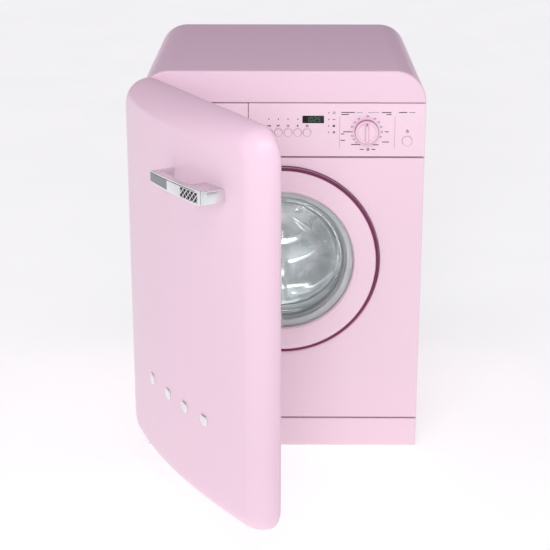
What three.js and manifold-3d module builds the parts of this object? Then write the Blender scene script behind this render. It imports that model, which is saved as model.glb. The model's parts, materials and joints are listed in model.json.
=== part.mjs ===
// Retro front-loading washing machine: a round-cornered cabinet, a bulged outer door that covers the
// whole front, a porthole behind it, a detergent drawer, the controls and the suspended wash group.
// Millimetres, +Z up. Pieces are drawn in the cabinet's frame: X = 0 on the centre line, Y = 0 on the
// front face with the back at +Y, and Z = 0 on the floor. The group at the end moves the whole object
// so that its origin is the bottom centre of its box.
import * as THREE from "three";
import { mergeVertices } from "three/addons/utils/BufferGeometryUtils.js";
import Module from "manifold-3d";

const wasm = await Module();
wasm.setup();

// ---- driving dimensions ----
const SHEET = 2; // thickness of every pressed panel
const FIT = 0.3; // gap between two pieces that touch
const CABINET = { half: 297.5, top: 850, depth: 598, bottom: 4, corner: 65 };
const FLANGE = 18; // depth of the folded edges of the front panels
const BAND_BOTTOM = 784; // lower edge of the front band of the wrap
const FASCIA = { bottom: 669.5, top: 782.5 };
const FRONT = { bottom: 75, top: 666.5 };
const PLINTH = { top: 72, lean: 5 };
const DRUM_AXIS = 440; // height of the drum's and the porthole's centre

const PORTHOLE = {
  recess: 209, // radius of the dished recess in the front panel
  recessDepth: 22,
  mouth: 150, // radius of the hole in the front panel
  ring: 206, // outer radius of the outer ring
  glass: 152.5, // inner radius of the outer ring
  trim: 200.7, // inner radius of the trim ring
  hinge: [196, -2.8], // X and Y of the hinge axis, in front of the panel so that the rim swings clear
  knuckle: 3.9,
  pin: 2,
};
const DOOR = {
  half: 297.5,
  bottom: 62,
  top: 848,
  corner: 60, // corner radius seen from the front
  gap: 10, // from the cabinet's front face to the inner face
  edge: 50, // thickness at the edge, before the bulge
  bulge: 38, // extra thickness at the middle
  outerRound: 42, // radius of the outer edges
  innerRound: 10, // radius of the inner edges
  pivot: [-287, -20], // X and Y of the hinge axis
  open: 61.2, // degrees that the stored door stands open
  hinges: [150, 620], // heights of the two hinges
  liner: 262, // half width of the liner's tray
  linerDepth: 30,
};
const HANDLE = { left: 22, right: 206, bottom: 704, top: 732, stand: 45, thick: 11 };
const DRAWER = { left: -182, right: -71, tray: [-175, -78], trayHeight: [703, 764], length: 300 };
const HOUSING = { x: [-184, -69], y: [18.6, 330], z: [698, 776] };
const KNOB = { x: 175.2, z: 723.4, radius: 24.7, depth: 14, fin: 5.4 };
const BUTTONS = { x: [-28.1, -8.2, 11.8, 31.9, 51.7], z: 720.7, radius: 8.2 };
const POWER = { x: 260, z: 703, radius: 10.5 };
const DISPLAY = { x: [41.5, 86.5], z: [740.6, 756.6] };

const TUB = { radius: 250, wall: 4, front: 110, split: 250, back: 470 };
const DRUM = { radius: 228, front: 125, back: 440, mouth: 142 };
const SHAFT = { radius: 12.5, end: 530 };
const PULLEY = { radius: 140, y: [511, 525] };
const MOTOR = { x: 110, z: 135, radius: 55, y: [345, 480], pulley: 12 };
const SPRING = { x: 215, y: 285, z: [644, 796], radius: 11, wire: 2.2, turns: 7 };
const DAMPER = { x: 160, y: 290, z: [26.3, 150], radius: 14, rod: 6 };
const PUMP = { x: 170, z: 82, radius: 36, y: [42, 140] };
const FINE = 40; // sides of a round piece that shows
const PLAIN = 20; // sides of a round piece that is inside
const SMALL = 12; // sides of a pin, a button or a foot

// ---- materials ----
function material(color, roughness, metalness = 0) {
  return new THREE.MeshStandardMaterial({ color, roughness, metalness });
}
const ENAMEL = material(0xecd0df, 0.28);
const PANEL = material(0xefd7e3, 0.35);
const BURGUNDY = material(0x7a1f5a, 0.35);
const CHROME = material(0xd9dbdd, 0.12, 1);
const STEEL = material(0xb9bcc0, 0.3, 1);
const GALVANISED = material(0x9fa3a6, 0.5, 0.9);
const GLASS = new THREE.MeshStandardMaterial({
  color: 0xdfe8ea,
  roughness: 0.05,
  transparent: true,
  opacity: 0.35,
});
const DISPLAY_BLACK = material(0x0b0f0c, 0.15);
const RUBBER = material(0x8b8d90, 0.7);
const BLACK_RUBBER = material(0x1c1c1e, 0.8);
const POLYMER = material(0xc9ccce, 0.5);
const WHITE_POLYMER = material(0xf2f0f1, 0.45);
const DARK_POLYMER = material(0x2b2d30, 0.5);
const CONCRETE = material(0x9b9a95, 0.95);

// ---- solids ----
function solidOf(geometry) {
  const bare = geometry.clone();
  bare.deleteAttribute("normal");
  bare.deleteAttribute("uv");
  const merged = mergeVertices(bare, 1e-4);
  const triVerts = new Uint32Array(merged.index.array);
  const vertProperties = merged.attributes.position.array;
  return new wasm.Manifold(new wasm.Mesh({ numProp: 3, vertProperties, triVerts }));
}

function geometryOf(solid) {
  const { vertProperties, triVerts } = solid.getMesh();
  const indexed = new THREE.BufferGeometry()
    .setAttribute("position", new THREE.BufferAttribute(vertProperties, 3))
    .setIndex(new THREE.BufferAttribute(triVerts, 1));
  const geometry = indexed.toNonIndexed();
  geometry.computeVertexNormals();
  return geometry;
}

const join = (...pieces) => geometryOf(pieces.map(solidOf).reduce((a, b) => a.add(b)));
const cut = (piece, ...tools) =>
  geometryOf(tools.map(solidOf).reduce((a, b) => a.subtract(b), solidOf(piece)));
const overlap = (...pieces) => geometryOf(pieces.map(solidOf).reduce((a, b) => a.intersect(b)));

// A box between two X, two Y and two Z values.
function box([x0, x1], [y0, y1], [z0, z1]) {
  return new THREE.BoxGeometry(x1 - x0, y1 - y0, z1 - z0).translate(
    (x0 + x1) / 2,
    (y0 + y1) / 2,
    (z0 + z1) / 2,
  );
}

// A round rod along one axis. The centre gives the other two coordinates, in X, Y, Z order.
function rod(axis, radius, [from, to], [a, b], sides = PLAIN) {
  const cylinder = new THREE.CylinderGeometry(radius, radius, to - from, sides);
  const middle = (from + to) / 2;
  if (axis === "x") return cylinder.rotateZ(Math.PI / 2).translate(middle, a, b);
  if (axis === "y") return cylinder.translate(a, middle, b);
  return cylinder.rotateX(Math.PI / 2).translate(a, b, middle);
}

// A solid turned about the drum's axis (or another line along Y) from [radius, y] points.
function turned(points, sides = FINE, [x, z] = [0, DRUM_AXIS]) {
  const area = points.reduce((sum, [r, y], i) => {
    const [nextR, nextY] = points[(i + 1) % points.length];
    return sum + r * nextY - nextR * y;
  }, 0);
  const order = area > 0 ? points : [...points].reverse();
  const profile = [...order, order[0]].map(([r, y]) => new THREE.Vector2(r, y));
  return new THREE.LatheGeometry(profile, sides).translate(x, 0, z);
}

// A ring of rectangular section about a line along Y.
const ring = (inner, outer, [y0, y1], sides = FINE, centre = [0, DRUM_AXIS]) =>
  turned([[inner, y0], [outer, y0], [outer, y1], [inner, y1]], sides, centre);

function extruded(shape, depth, curveSegments) {
  return new THREE.ExtrudeGeometry(shape, { depth, bevelEnabled: false, curveSegments });
}

// A shape drawn in X and Z, with its thickness along Y.
const plate = (shape, [y0, y1], segments = 6) =>
  extruded(shape, y1 - y0, segments).rotateX(Math.PI / 2).translate(0, y1, 0);
// A shape drawn in X and Y, with its height along Z.
const slab = (shape, [z0, z1], segments = 6) =>
  extruded(shape, z1 - z0, segments).translate(0, 0, z0);
// A shape drawn in Y and Z, with its length along X.
const bar = (shape, [x0, x1], segments = 6) =>
  extruded(shape, x1 - x0, segments)
    .applyMatrix4(new THREE.Matrix4().set(0, 0, 1, 0, 1, 0, 0, 0, 0, 1, 0, 0, 0, 0, 0, 1))
    .translate(x0, 0, 0);

const outline = (points) => new THREE.Shape(points.map(([a, b]) => new THREE.Vector2(a, b)));

// A rectangle with one radius on its lower corners and another on its upper ones.
function rounded([x0, x1], [z0, z1], lower, upper = lower) {
  const shape = new THREE.Shape();
  shape.moveTo(x0 + lower, z0).lineTo(x1 - lower, z0);
  if (lower > 0) shape.absarc(x1 - lower, z0 + lower, lower, -Math.PI / 2, 0);
  shape.lineTo(x1, z1 - upper);
  if (upper > 0) shape.absarc(x1 - upper, z1 - upper, upper, 0, Math.PI / 2);
  shape.lineTo(x0 + upper, z1);
  if (upper > 0) shape.absarc(x0 + upper, z1 - upper, upper, Math.PI / 2, Math.PI);
  shape.lineTo(x0, z0 + lower);
  if (lower > 0) shape.absarc(x0 + lower, z0 + lower, lower, Math.PI, 1.5 * Math.PI);
  return shape;
}

// A round tube or wire along a smooth curve through the given points.
function tube(points, radius, steps, sides = 10) {
  const path = new THREE.CatmullRomCurve3(points.map((p) => new THREE.Vector3(...p)));
  const section = new THREE.Shape(
    Array.from({ length: sides }, (_, i) => {
      const turn = (i / sides) * 2 * Math.PI;
      return new THREE.Vector2(radius * Math.cos(turn), radius * Math.sin(turn));
    }),
  );
  return new THREE.ExtrudeGeometry(section, { steps, extrudePath: path, bevelEnabled: false });
}

// ---- cabinet ----
// The cabinet's outline seen from the front, drawn in by an inset.
const cabinetOutline = (inset, bottom = CABINET.bottom) =>
  rounded(
    [-CABINET.half + inset, CABINET.half - inset],
    [bottom, CABINET.top - inset],
    0,
    CABINET.corner - inset,
  );

function cabinetWrap() {
  const full = plate(cabinetOutline(0), [0, CABINET.depth], 8);
  const hollow = plate(cabinetOutline(SHEET, -20), [SHEET, CABINET.depth + 1], 8);
  const frontOpening = box([-400, 400], [-1, FLANGE + 2], [-20, BAND_BOTTOM]);
  const lip = box([-290, 290], [SHEET - 0.5, FLANGE], [BAND_BOTTOM, BAND_BOTTOM + SHEET]);
  return join(cut(full, hollow, frontOpening), lip);
}

// A front panel with all four edges folded back.
function foldedPanel([z0, z1]) {
  const inner = CABINET.half - SHEET;
  return cut(
    box([-CABINET.half, CABINET.half], [0, FLANGE], [z0, z1]),
    box([-inner, inner], [SHEET, FLANGE + 1], [z0 + SHEET, z1 - SHEET]),
  );
}

function frontPanel() {
  const { recess, recessDepth, mouth } = PORTHOLE;
  const dish = turned([
    [mouth, recessDepth - SHEET],
    [recess, recessDepth - SHEET],
    [recess, 0],
    [recess + SHEET, 0],
    [recess + SHEET, recessDepth],
    [mouth, recessDepth],
  ]);
  const hole = rod("y", recess + 1, [-1, SHEET + 1], [0, DRUM_AXIS], FINE);
  const latchSlot = box([-190, -168], [recessDepth - 5, recessDepth + 1], [428, 452]);
  return cut(join(cut(foldedPanel([FRONT.bottom, FRONT.top]), hole), dish), latchSlot);
}

// The fascia's drawer bay has a back wall of its own, which ties both ends of the fascia together.
function controlFascia() {
  const { bottom, top } = FASCIA;
  const bay = [DRAWER.left - 1.8, DRAWER.right + 1.8];
  const frame = cut(
    foldedPanel([bottom, top]),
    box(bay, [-1, FLANGE - 3.6], [bottom - 1, top + 1]),
  );
  const bayWalls = cut(
    box([bay[0] - SHEET, bay[1] + SHEET], [0, FLANGE], [bottom, top]),
    box(bay, [-1, FLANGE - 3.6], [bottom - 1, top + 1]),
    box([DRAWER.tray[0] - 3, DRAWER.tray[1] + 3], [0, FLANGE + 1], [700, 768]),
  );
  const holes = [
    ...BUTTONS.x.map((x) => rod("y", BUTTONS.radius + 0.5, [-1, 9], [x, BUTTONS.z], SMALL)),
    rod("y", POWER.radius + 0.5, [-1, 9], [POWER.x, POWER.z], SMALL),
    rod("y", 5, [-1, 9], [KNOB.x, KNOB.z], SMALL),
    box(DISPLAY.x, [-1, 9], DISPLAY.z),
  ];
  return cut(join(frame, bayWalls), ...holes);
}

function plinth() {
  const { bottom } = CABINET;
  const { top, lean } = PLINTH;
  const side = outline([[0, top], [0, top - 30], [lean, bottom], [FLANGE, bottom], [FLANGE, top]]);
  const hollow = outline([
    [SHEET, top - SHEET],
    [SHEET, top - 30],
    [lean + SHEET, bottom + SHEET],
    [FLANGE + 1, bottom + SHEET],
    [FLANGE + 1, top - SHEET],
  ]);
  const inner = CABINET.half - SHEET;
  return cut(bar(side, [-CABINET.half, CABINET.half]), bar(hollow, [-inner, inner]));
}

function backPanel() {
  const sheet = plate(cabinetOutline(SHEET + FIT, 26.3), [592, 594]);
  const cover = ring(158, 166, [593, 597], PLAIN);
  const disc = ring(150, 158.5, [595, 597], PLAIN);
  const spout = rod("y", 12.5, [580, 600], [180, 780], SMALL);
  const outlet = rod("y", 12, [580, 600], [272, 650], SMALL);
  return cut(join(sheet, cover, disc), spout, outlet);
}

function basePan() {
  const half = CABINET.half - SHEET - FIT;
  return cut(
    box([-half, half], [FLANGE + 0.6, 594], [20, 50]),
    box([-half + SHEET, half - SHEET], [FLANGE + 0.6 + SHEET, 591.7], [20 + SHEET, 51]),
    box([-half - 1, half + 1], [591.7, 600], [20 + SHEET, 51]),
  );
}

function foot([x, y]) {
  const profile = [[0, 0], [20, 0], [22, 2], [22, 8], [12, 11], [6, 11], [6, 19.7], [0, 19.7]];
  const points = profile.map(([r, z]) => new THREE.Vector2(r, z));
  return new THREE.LatheGeometry(points, SMALL).rotateX(Math.PI / 2).translate(x, y, 0);
}

// A channel across the cabinet, with a hook for each spring.
function suspensionCrossbar() {
  const channel = cut(
    box([-286, 286], [268, 302], [800, 815]),
    box([-287, 287], [271, 299], [803, 816]),
  );
  const hooks = [-SPRING.x, SPRING.x].map((x) => box([x - 4, x + 4], [281, 289], [796.6, 801]));
  return join(channel, ...hooks);
}

// ---- outer door, drawn closed ----
// The door's bulk, drawn in by an inset: its plan, its side view and its front outline intersect.
const faceDepth = (x) => DOOR.gap + DOOR.edge + DOOR.bulge * (1 - (x / DOOR.half) ** 2);

function doorPlan(inset) {
  const half = DOOR.half - inset;
  const back = -DOOR.gap - inset;
  const outer = DOOR.outerRound - inset;
  const inner = Math.max(DOOR.innerRound - inset, 0.5);
  const tangent = Math.atan((2 * DOOR.bulge * (DOOR.half - DOOR.outerRound)) / DOOR.half ** 2);
  const sweep = Math.PI / 2 - tangent;
  const endX = half - outer * (1 - Math.cos(sweep));
  const face = (x) => -faceDepth(x) + inset / Math.cos(tangent);
  const centreY = face(endX) + outer * Math.sin(sweep);
  const shape = new THREE.Shape();
  shape.moveTo(half - inner, back);
  shape.absarc(half - inner, back - inner, inner, Math.PI / 2, 0, true);
  shape.absarc(half - outer, centreY, outer, 0, -sweep, true);
  const steps = 10;
  for (let i = 1; i < steps; i++) {
    const x = endX * (1 - (2 * i) / steps);
    shape.lineTo(x, face(x));
  }
  shape.absarc(outer - half, centreY, outer, -Math.PI + sweep, -Math.PI, true);
  shape.absarc(inner - half, back - inner, inner, Math.PI, Math.PI / 2, true);
  return shape;
}

function doorBlock(inset) {
  const bottom = DOOR.bottom + inset;
  const top = DOOR.top - inset;
  const back = -DOOR.gap - inset;
  const front = -faceDepth(0) + inset;
  const side = new THREE.Shape();
  const outer = DOOR.outerRound - inset;
  const inner = Math.max(DOOR.innerRound - inset, 0.5);
  side.absarc(back - inner, bottom + inner, inner, -Math.PI / 2, 0);
  side.absarc(back - inner, top - inner, inner, 0, Math.PI / 2);
  side.absarc(front + outer, top - outer, outer, Math.PI / 2, Math.PI);
  side.absarc(front + outer, bottom + outer, outer, Math.PI, 1.5 * Math.PI);
  const half = DOOR.half - inset;
  return overlap(
    slab(doorPlan(inset), [bottom - 5, top + 5], 5),
    bar(side, [-half - 5, half + 5], 5),
    plate(rounded([-half, half], [bottom, top], DOOR.corner - inset), [front - 5, back + 5]),
  );
}

// The slots let each fixed hinge arm turn inside the door's edge.
const hingeSlots = () =>
  DOOR.hinges.map((z) => box([-300, -281], [-34, -9], [z - 5, z + 5]));

const LINER_RIM = 14.5; // from the door's edge to the edge of the liner

function outerDoorSkin() {
  const half = DOOR.half - LINER_RIM;
  const opening = rounded(
    [-half, half],
    [DOOR.bottom + LINER_RIM, DOOR.top - LINER_RIM],
    DOOR.corner - LINER_RIM,
  );
  const openingDepth = [-DOOR.gap - SHEET - 1, -DOOR.gap + 1];
  return cut(doorBlock(0), doorBlock(SHEET), plate(opening, openingDepth), ...hingeSlots());
}

function outerDoorLiner() {
  const { pivot, gap, liner, linerDepth, bottom, top, corner } = DOOR;
  const rim = LINER_RIM + FIT;
  const trayInset = DOOR.half - liner;
  const trayZ = [bottom + trayInset, top - trayInset];
  const flange = plate(
    rounded([-DOOR.half + rim, DOOR.half - rim], [bottom + rim, top - rim], corner - rim),
    [-gap - SHEET, -gap],
  );
  const tray = plate(rounded([-liner, liner], trayZ, 30), [-gap - linerDepth, -gap]);
  const hollow = plate(
    rounded([-liner + SHEET, liner - SHEET], [trayZ[0] + SHEET, trayZ[1] - SHEET], 28),
    [-gap - linerDepth + SHEET, -gap + 1],
  );
  const bosses = DOOR.hinges.flatMap((z) => {
    const span = [z - 22, z + 22];
    return [
      rod("z", 7, span, pivot, SMALL),
      box([pivot[0], 1 - liner], [-26, -gap - SHEET - FIT], span),
    ];
  });
  const pinHoles = DOOR.hinges.map((z) => rod("z", 3.6, [z - 23, z + 23], pivot, SMALL));
  return cut(join(flange, tray, ...bosses), hollow, ...pinHoles, ...hingeSlots());
}

// A soft lip round the liner that meets the cabinet's front.
function outerDoorSeal() {
  const frame = (inset) =>
    rounded(
      [-DOOR.half + inset, DOOR.half - inset],
      [DOOR.bottom + inset, DOOR.top - inset],
      DOOR.corner - inset,
    );
  const depth = [-DOOR.gap + FIT, -DOOR.gap + 6];
  return cut(plate(frame(17), depth), plate(frame(28), [depth[0] - 1, depth[1] + 1]));
}

// The casting is a thick bar on a thin post and a broad block. It narrows towards the post.
function handleBody(plan) {
  const { left, right, bottom, top } = HANDLE;
  const front = outline([
    [left, bottom + 8],
    [left + 12, bottom + 4],
    [right - 20, bottom],
    [right + 4, bottom + 3],
    [right + 4, top],
    [left + 6, top],
    [left, top - 4],
  ]);
  return overlap(slab(plan, [bottom, top]), plate(front, [-200, -40]));
}

const barFace = (x) => -faceDepth(x) - HANDLE.stand; // Y of the bar's front face

function handleCasting() {
  const { left, right, thick } = HANDLE;
  const face = (x) => barFace(x) + 3 + FIT;
  const plan = outline([
    [left, face(left) + 2],
    [left + 8, face(left)],
    [110, face(110)],
    [right - 6, face(right)],
    [right, face(right) + 6],
    [right + 3, -70],
    [right - 56, -70],
    [right - 52, face(right - 52) + thick + 2],
    [right - 70, face(right - 70) + thick],
    [left + 18, face(left) + thick],
    [left + 13, face(left) + thick + 4],
    [left + 11, -80],
    [left, -80],
  ]);
  return cut(handleBody(plan), doorBlock(-FIT));
}

function handleFaceplate() {
  const { left, right } = HANDLE;
  const plan = outline([
    [left, barFace(left) + 2],
    [left + 8, barFace(left)],
    [110, barFace(110)],
    [right - 6, barFace(right)],
    [right - 6, barFace(right) + 3],
    [110, barFace(110) + 3],
    [left + 8, barFace(left) + 3],
    [left, barFace(left) + 5],
  ]);
  return handleBody(plan);
}

// A hinge bracket: a leaf on the cabinet's front, an arm into the door's edge and a pin.
function outerHinge(z) {
  const [x, y] = DOOR.pivot;
  return join(
    box([-292, -262], [-4, -FIT], [z - 28, z + 28]),
    box([x - 4, x + 4], [y, -2], [z - 4, z + 4]),
    rod("z", 6, [z - 4, z + 4], DOOR.pivot, SMALL),
    rod("z", 3, [z - 20, z + 20], DOOR.pivot, SMALL),
  );
}

// ---- porthole, drawn shut ----
function portholeFrame() {
  const { ring: outer, glass } = PORTHOLE;
  const body = turned([
    [glass, -3],
    [glass + 10, -7.6],
    [190, -8],
    [PORTHOLE.trim - 1.1, -7.9],
    [PORTHOLE.trim - 0.3, -6],
    [outer, -3],
    [outer, 5],
    [glass, 5],
  ]);
  const hingeSpan = [398, 482];
  const pocket = box([180, 210], [-3.8, 6], hingeSpan);
  return cut(body, pocket, rod("z", PORTHOLE.knuckle + FIT, hingeSpan, PORTHOLE.hinge, SMALL));
}

const portholeTrimRing = () =>
  turned([
    [PORTHOLE.trim, -7.9],
    [PORTHOLE.ring + 0.4, -6.2],
    [PORTHOLE.ring + 0.4, -3.3],
    [203, -5.2],
    [PORTHOLE.trim, -7.1],
  ]);

// A deep bowl of clear glass, open to the front, with a flange behind the outer ring.
function portholeGlass() {
  const wall = 5;
  return turned([
    [0, 100],
    [60, 97],
    [92, 86],
    [112, 60],
    [124, 20],
    [132, 5.4],
    [160, 5.4],
    [160, 9.4],
    [135, 10.4],
    [124 + wall, 22],
    [112 + wall, 62],
    [92 + wall, 90],
    [62, 102],
    [0, 105],
  ]);
}

// A clamp ring behind the glass, with the hinge knuckle on its right side.
function portholeInnerFrame() {
  const [x, y] = PORTHOLE.hinge;
  const body = turned([[140, 10.8], [162, 9.8], [162, 5.4], [184, 5.4], [184, 14], [140, 16]]);
  const arm = box([181, x], [y + 1.2, 9], [420, 460]);
  const knuckle = rod("z", PORTHOLE.knuckle, [420, 460], [x, y], SMALL);
  const bore = rod("z", PORTHOLE.pin + FIT, [419, 461], [x, y], SMALL);
  return cut(join(body, arm, knuckle), bore, box([-187, -169], [9, 20], [433, 447]));
}

// A plate in the recess with two knuckles and the pin.
function portholeHingePlate() {
  const [x, y] = PORTHOLE.hinge;
  const foot = box([160, 196], [17.2, 19.7], [402, 478]);
  const arms = [[403, 419], [461, 477]].flatMap((span) => [
    rod("z", PORTHOLE.knuckle, span, [x, y], SMALL),
    slab(outline([[x - 3.8, y], [x + 0.2, y + 3.7], [x - 6, y + 11], [x - 7.5, 19], [x - 14, 19]]), span),
  ]);
  return join(foot, ...arms, rod("z", PORTHOLE.pin, [404, 476], [x, y], SMALL));
}

const latchHook = () =>
  join(
    box([-180, -176], [10, 42], [435, 445]),
    slab(outline([[-177, 34], [-177, 42], [-180, 42], [-186, 36], [-186, 34]]), [435, 445]),
    rod("z", 3.4, [434, 446], [-178, 12.5], SMALL),
  );

// A box behind the front panel, with a slot for the hook.
const doorLock = () =>
  cut(
    box([-204, -156], [22.4, 58], [418, 462]),
    box([-194, -166], [21, 50], [430, 450]),
  );

function doorGasket() {
  return turned([
    [134.5, 18],
    [149, 17],
    [149.6, 24],
    [156, 30],
    [156, 46],
    [146, 54],
    [143, 95.6],
    [137, 95.6],
    [139, 52],
    [149, 42],
    [149, 34],
    [140, 26],
    [134.5, 23],
  ], PLAIN + 8);
}

// ---- detergent drawer ----
const drawerFront = () => {
  const { left, right } = DRAWER;
  const body = box([left, right], [0, 13.6], [FASCIA.bottom + 0.3, FASCIA.top - 0.3]);
  const grip = box([left + 22, right - 22], [4, 14.6], [FASCIA.bottom - 1, FASCIA.bottom + 12]);
  return cut(body, grip);
};

// An open tray with a long and two short compartments.
function drawerTray() {
  const [left, right] = DRAWER.tray;
  const [bottom, top] = DRAWER.trayHeight;
  const front = 14;
  const middle = -128;
  const compartments = [
    box([left + SHEET, middle - 1], [front + 3, DRAWER.length - SHEET], [bottom + 3, top + 1]),
    box([middle + 1, right - SHEET], [front + 3, 156], [bottom + 3, top + 1]),
    box([middle + 1, right - SHEET], [158, DRAWER.length - SHEET], [bottom + 3, top + 1]),
  ];
  return cut(box([left, right], [front, DRAWER.length], [bottom, top]), ...compartments);
}

function dispenserHousing() {
  const { x, y, z } = HOUSING;
  const wall = 2.5;
  const hollow = box(
    [x[0] + wall, x[1] - wall],
    [y[0] - 1, y[1] - wall],
    [z[0] + wall, z[1] - wall],
  );
  const outlet = rod("z", 14, [z[0] - 1, z[0] + 4], [-126, 312], SMALL);
  const inlet = rod("z", 10, [z[1] - 4, z[1] + 1], [-126, 250], SMALL);
  return cut(box(x, y, z), hollow, outlet, inlet);
}

// A soft bellows from the dispenser down to the tub.
function fillHose() {
  const points = [[14, 668.4], [18, 668.4]];
  for (let i = 0; i < 3; i++) points.push([20, 672 + 9 * i], [16.6, 676.5 + 9 * i]);
  points.push([18, 697.7], [14, 697.7]);
  const profile = [...points, points[0]].map(([r, z]) => new THREE.Vector2(r, z));
  return new THREE.LatheGeometry(profile, SMALL).rotateX(Math.PI / 2).translate(-126, 312, 0);
}

const inletValve = () =>
  join(
    box([150, 210], [556, 588], [762, 798]),
    rod("y", 12, [570, 597.6], [180, 780], SMALL),
    rod("x", 9, [130, 152], [570, 780], SMALL),
  );

// ---- controls ----
function programKnob() {
  const { x, z, radius, depth, fin } = KNOB;
  const skirt = turned([
    [0, -depth],
    [radius - 4, -depth],
    [radius - 1, -depth + 2],
    [radius, -0.8],
    [0, -0.8],
  ], FINE, [x, z]);
  const grip = box([x - fin / 2, x + fin / 2], [-22, -depth + 1], [z - radius + 3, z + radius - 1.5]);
  return join(skirt, grip, rod("y", 3.6, [-1, 21], [x, z], SMALL));
}

const button = (x, z, radius) =>
  join(
    rod("y", radius, [-2.5, 8], [x, z], PLAIN),
    rod("y", radius * 0.5, [7, 18.6], [x, z], SMALL),
  );

const displayWindow = () =>
  box(
    [DISPLAY.x[0] + FIT, DISPLAY.x[1] - FIT],
    [0.4, 8],
    [DISPLAY.z[0] + FIT, DISPLAY.z[1] - FIT],
  );

const controlBoard = () => box([-52, 286], [21.4, 40], [680, 774]);

// ---- wash group ----
function tubFront() {
  const { radius, wall, front, split } = TUB;
  const shell = turned([
    [135, front - 14],
    [139, front - 14],
    [139, front],
    [radius - 8, front],
    [radius, front + 8],
    [radius, split - FIT / 2],
    [radius - wall, split - FIT / 2],
    [radius - wall, front + wall + 6],
    [radius - wall - 6, front + wall],
    [135, front + wall],
  ], PLAIN + 8);
  const sump = rod("z", 20, [172, 200], [40, 180], SMALL);
  const drain = rod("z", 16, [160, 203], [40, 180], SMALL);
  return cut(join(shell, sump), drain);
}

function tubRear() {
  const { radius, wall, split, back } = TUB;
  const shell = turned([
    [radius - wall, split + FIT / 2],
    [radius, split + FIT / 2],
    [radius, back - 10],
    [radius - 10, back],
    [45, back],
    [45, 503],
    [31, 503],
    [31, back - 8],
    [radius - wall - 8, back - 8],
    [radius - wall, back - 14],
  ], PLAIN + 8);
  const ears = [-SPRING.x, SPRING.x].map((x) => box([x - 8, x + 8], [270, 300], [540, 643.7]));
  const lugs = [-DAMPER.x, DAMPER.x].map((x) => box([x - 10, x + 10], [280, 300], [232, 256]));
  const motorArm = box([80, 140], [360, 440], [192.3, 232]);
  const hollow = rod("y", radius - 1, [split - 1, back - 14], [0, DRUM_AXIS], PLAIN + 8);
  const inlet = rod("z", 18, [640, 668], [-126, 312], SMALL);
  const bore = rod("z", 14, [630, 669], [-126, 312], SMALL);
  const fittings = cut(join(...ears, ...lugs, motorArm, inlet), hollow);
  return cut(join(shell, fittings), bore);
}

const bearingSleeve = () => ring(SHAFT.radius + FIT, 30.7, [464, 505], PLAIN);

const counterweightFront = () => ring(164, 234, [64, TUB.front - FIT], 48);

function counterweightTop() {
  const block = box([-40, 180], [118, 244], [630, 742]);
  return cut(block, rod("y", TUB.radius + 2, [100, 260], [0, DRUM_AXIS], FINE));
}

function drumBasket() {
  const { radius, front, back, mouth } = DRUM;
  const wall = 2;
  const shell = turned([
    [mouth, front + 6],
    [mouth + 2, front],
    [radius - 6, front],
    [radius, front + 6],
    [radius, back],
    [0, back],
    [0, back - wall],
    [radius - wall, back - wall],
    [radius - wall, front + 7],
    [radius - 7, front + wall],
    [mouth + 3, front + wall],
    [mouth + 2, front + 6],
  ]);
  const lifters = [60, 180, 300].map((degrees) =>
    bar(outline([[front + 14, 226.5], [front + 40, 186], [back - 26, 186], [back - 1, 226.5]]), [-16, 16])
      .rotateY(THREE.MathUtils.degToRad(degrees))
      .translate(0, 0, DRUM_AXIS),
  );
  return join(shell, ...lifters);
}

// Three arms behind the drum and the shaft through the bearing.
function drumSpider() {
  const arms = [30, 150, 270].map((degrees) =>
    box([-14, 14], [DRUM.back + FIT, DRUM.back + 13], [0, 215])
      .rotateY(THREE.MathUtils.degToRad(degrees))
      .translate(0, 0, DRUM_AXIS),
  );
  const hub = rod("y", 38, [DRUM.back + FIT, DRUM.back + 18], [0, DRUM_AXIS]);
  return join(hub, ...arms, rod("y", SHAFT.radius, [DRUM.back + 1, SHAFT.end], [0, DRUM_AXIS]));
}

function drumPulley() {
  const { radius, y } = PULLEY;
  const rim = ring(radius - 10, radius, y);
  const hub = ring(SHAFT.radius + FIT, 26, [506, 528], PLAIN);
  const spokes = [0, 72, 144, 216, 288].map((degrees) =>
    box([-8, 8], [y[0] + 3, y[1] - 3], [20, radius - 6])
      .rotateY(THREE.MathUtils.degToRad(degrees))
      .translate(0, 0, DRUM_AXIS),
  );
  return join(rim, hub, ...spokes);
}

const motorBody = () => {
  const { x, z, radius, y } = MOTOR;
  return join(
    turned([
      [0, y[0]],
      [radius - 10, y[0]],
      [radius, y[0] + 12],
      [radius, y[1] - 16],
      [radius - 18, y[1]],
      [0, y[1]],
    ], PLAIN, [x, z]),
    box([x - 26, x + 26], [366, 434], [z + radius - 8, 192]),
    rod("y", 5, [y[1] - 1, 532], [x, z], SMALL),
  );
};

const motorPulley = () => ring(5.3, MOTOR.pulley, [509, 529], PLAIN, [MOTOR.x, MOTOR.z]);

// A flat belt round the drum pulley and the motor pulley: the common outline of two circles.
function driveBelt() {
  const span = Math.hypot(MOTOR.x, DRUM_AXIS - MOTOR.z);
  const direction = Math.atan2(MOTOR.z - DRUM_AXIS, MOTOR.x);
  const loop = (grow) => {
    const large = PULLEY.radius + grow;
    const small = MOTOR.pulley + grow;
    const wrap = Math.acos((large - small) / span);
    const shape = new THREE.Shape();
    shape.absarc(0, DRUM_AXIS, large, direction + wrap, direction - wrap + 2 * Math.PI);
    shape.absarc(MOTOR.x, MOTOR.z, small, direction - wrap, direction + wrap);
    return shape;
  };
  return cut(
    plate(loop(3.6), [512, 524], 12),
    plate(loop(0.9), [511, 525], 12),
  );
}

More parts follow.
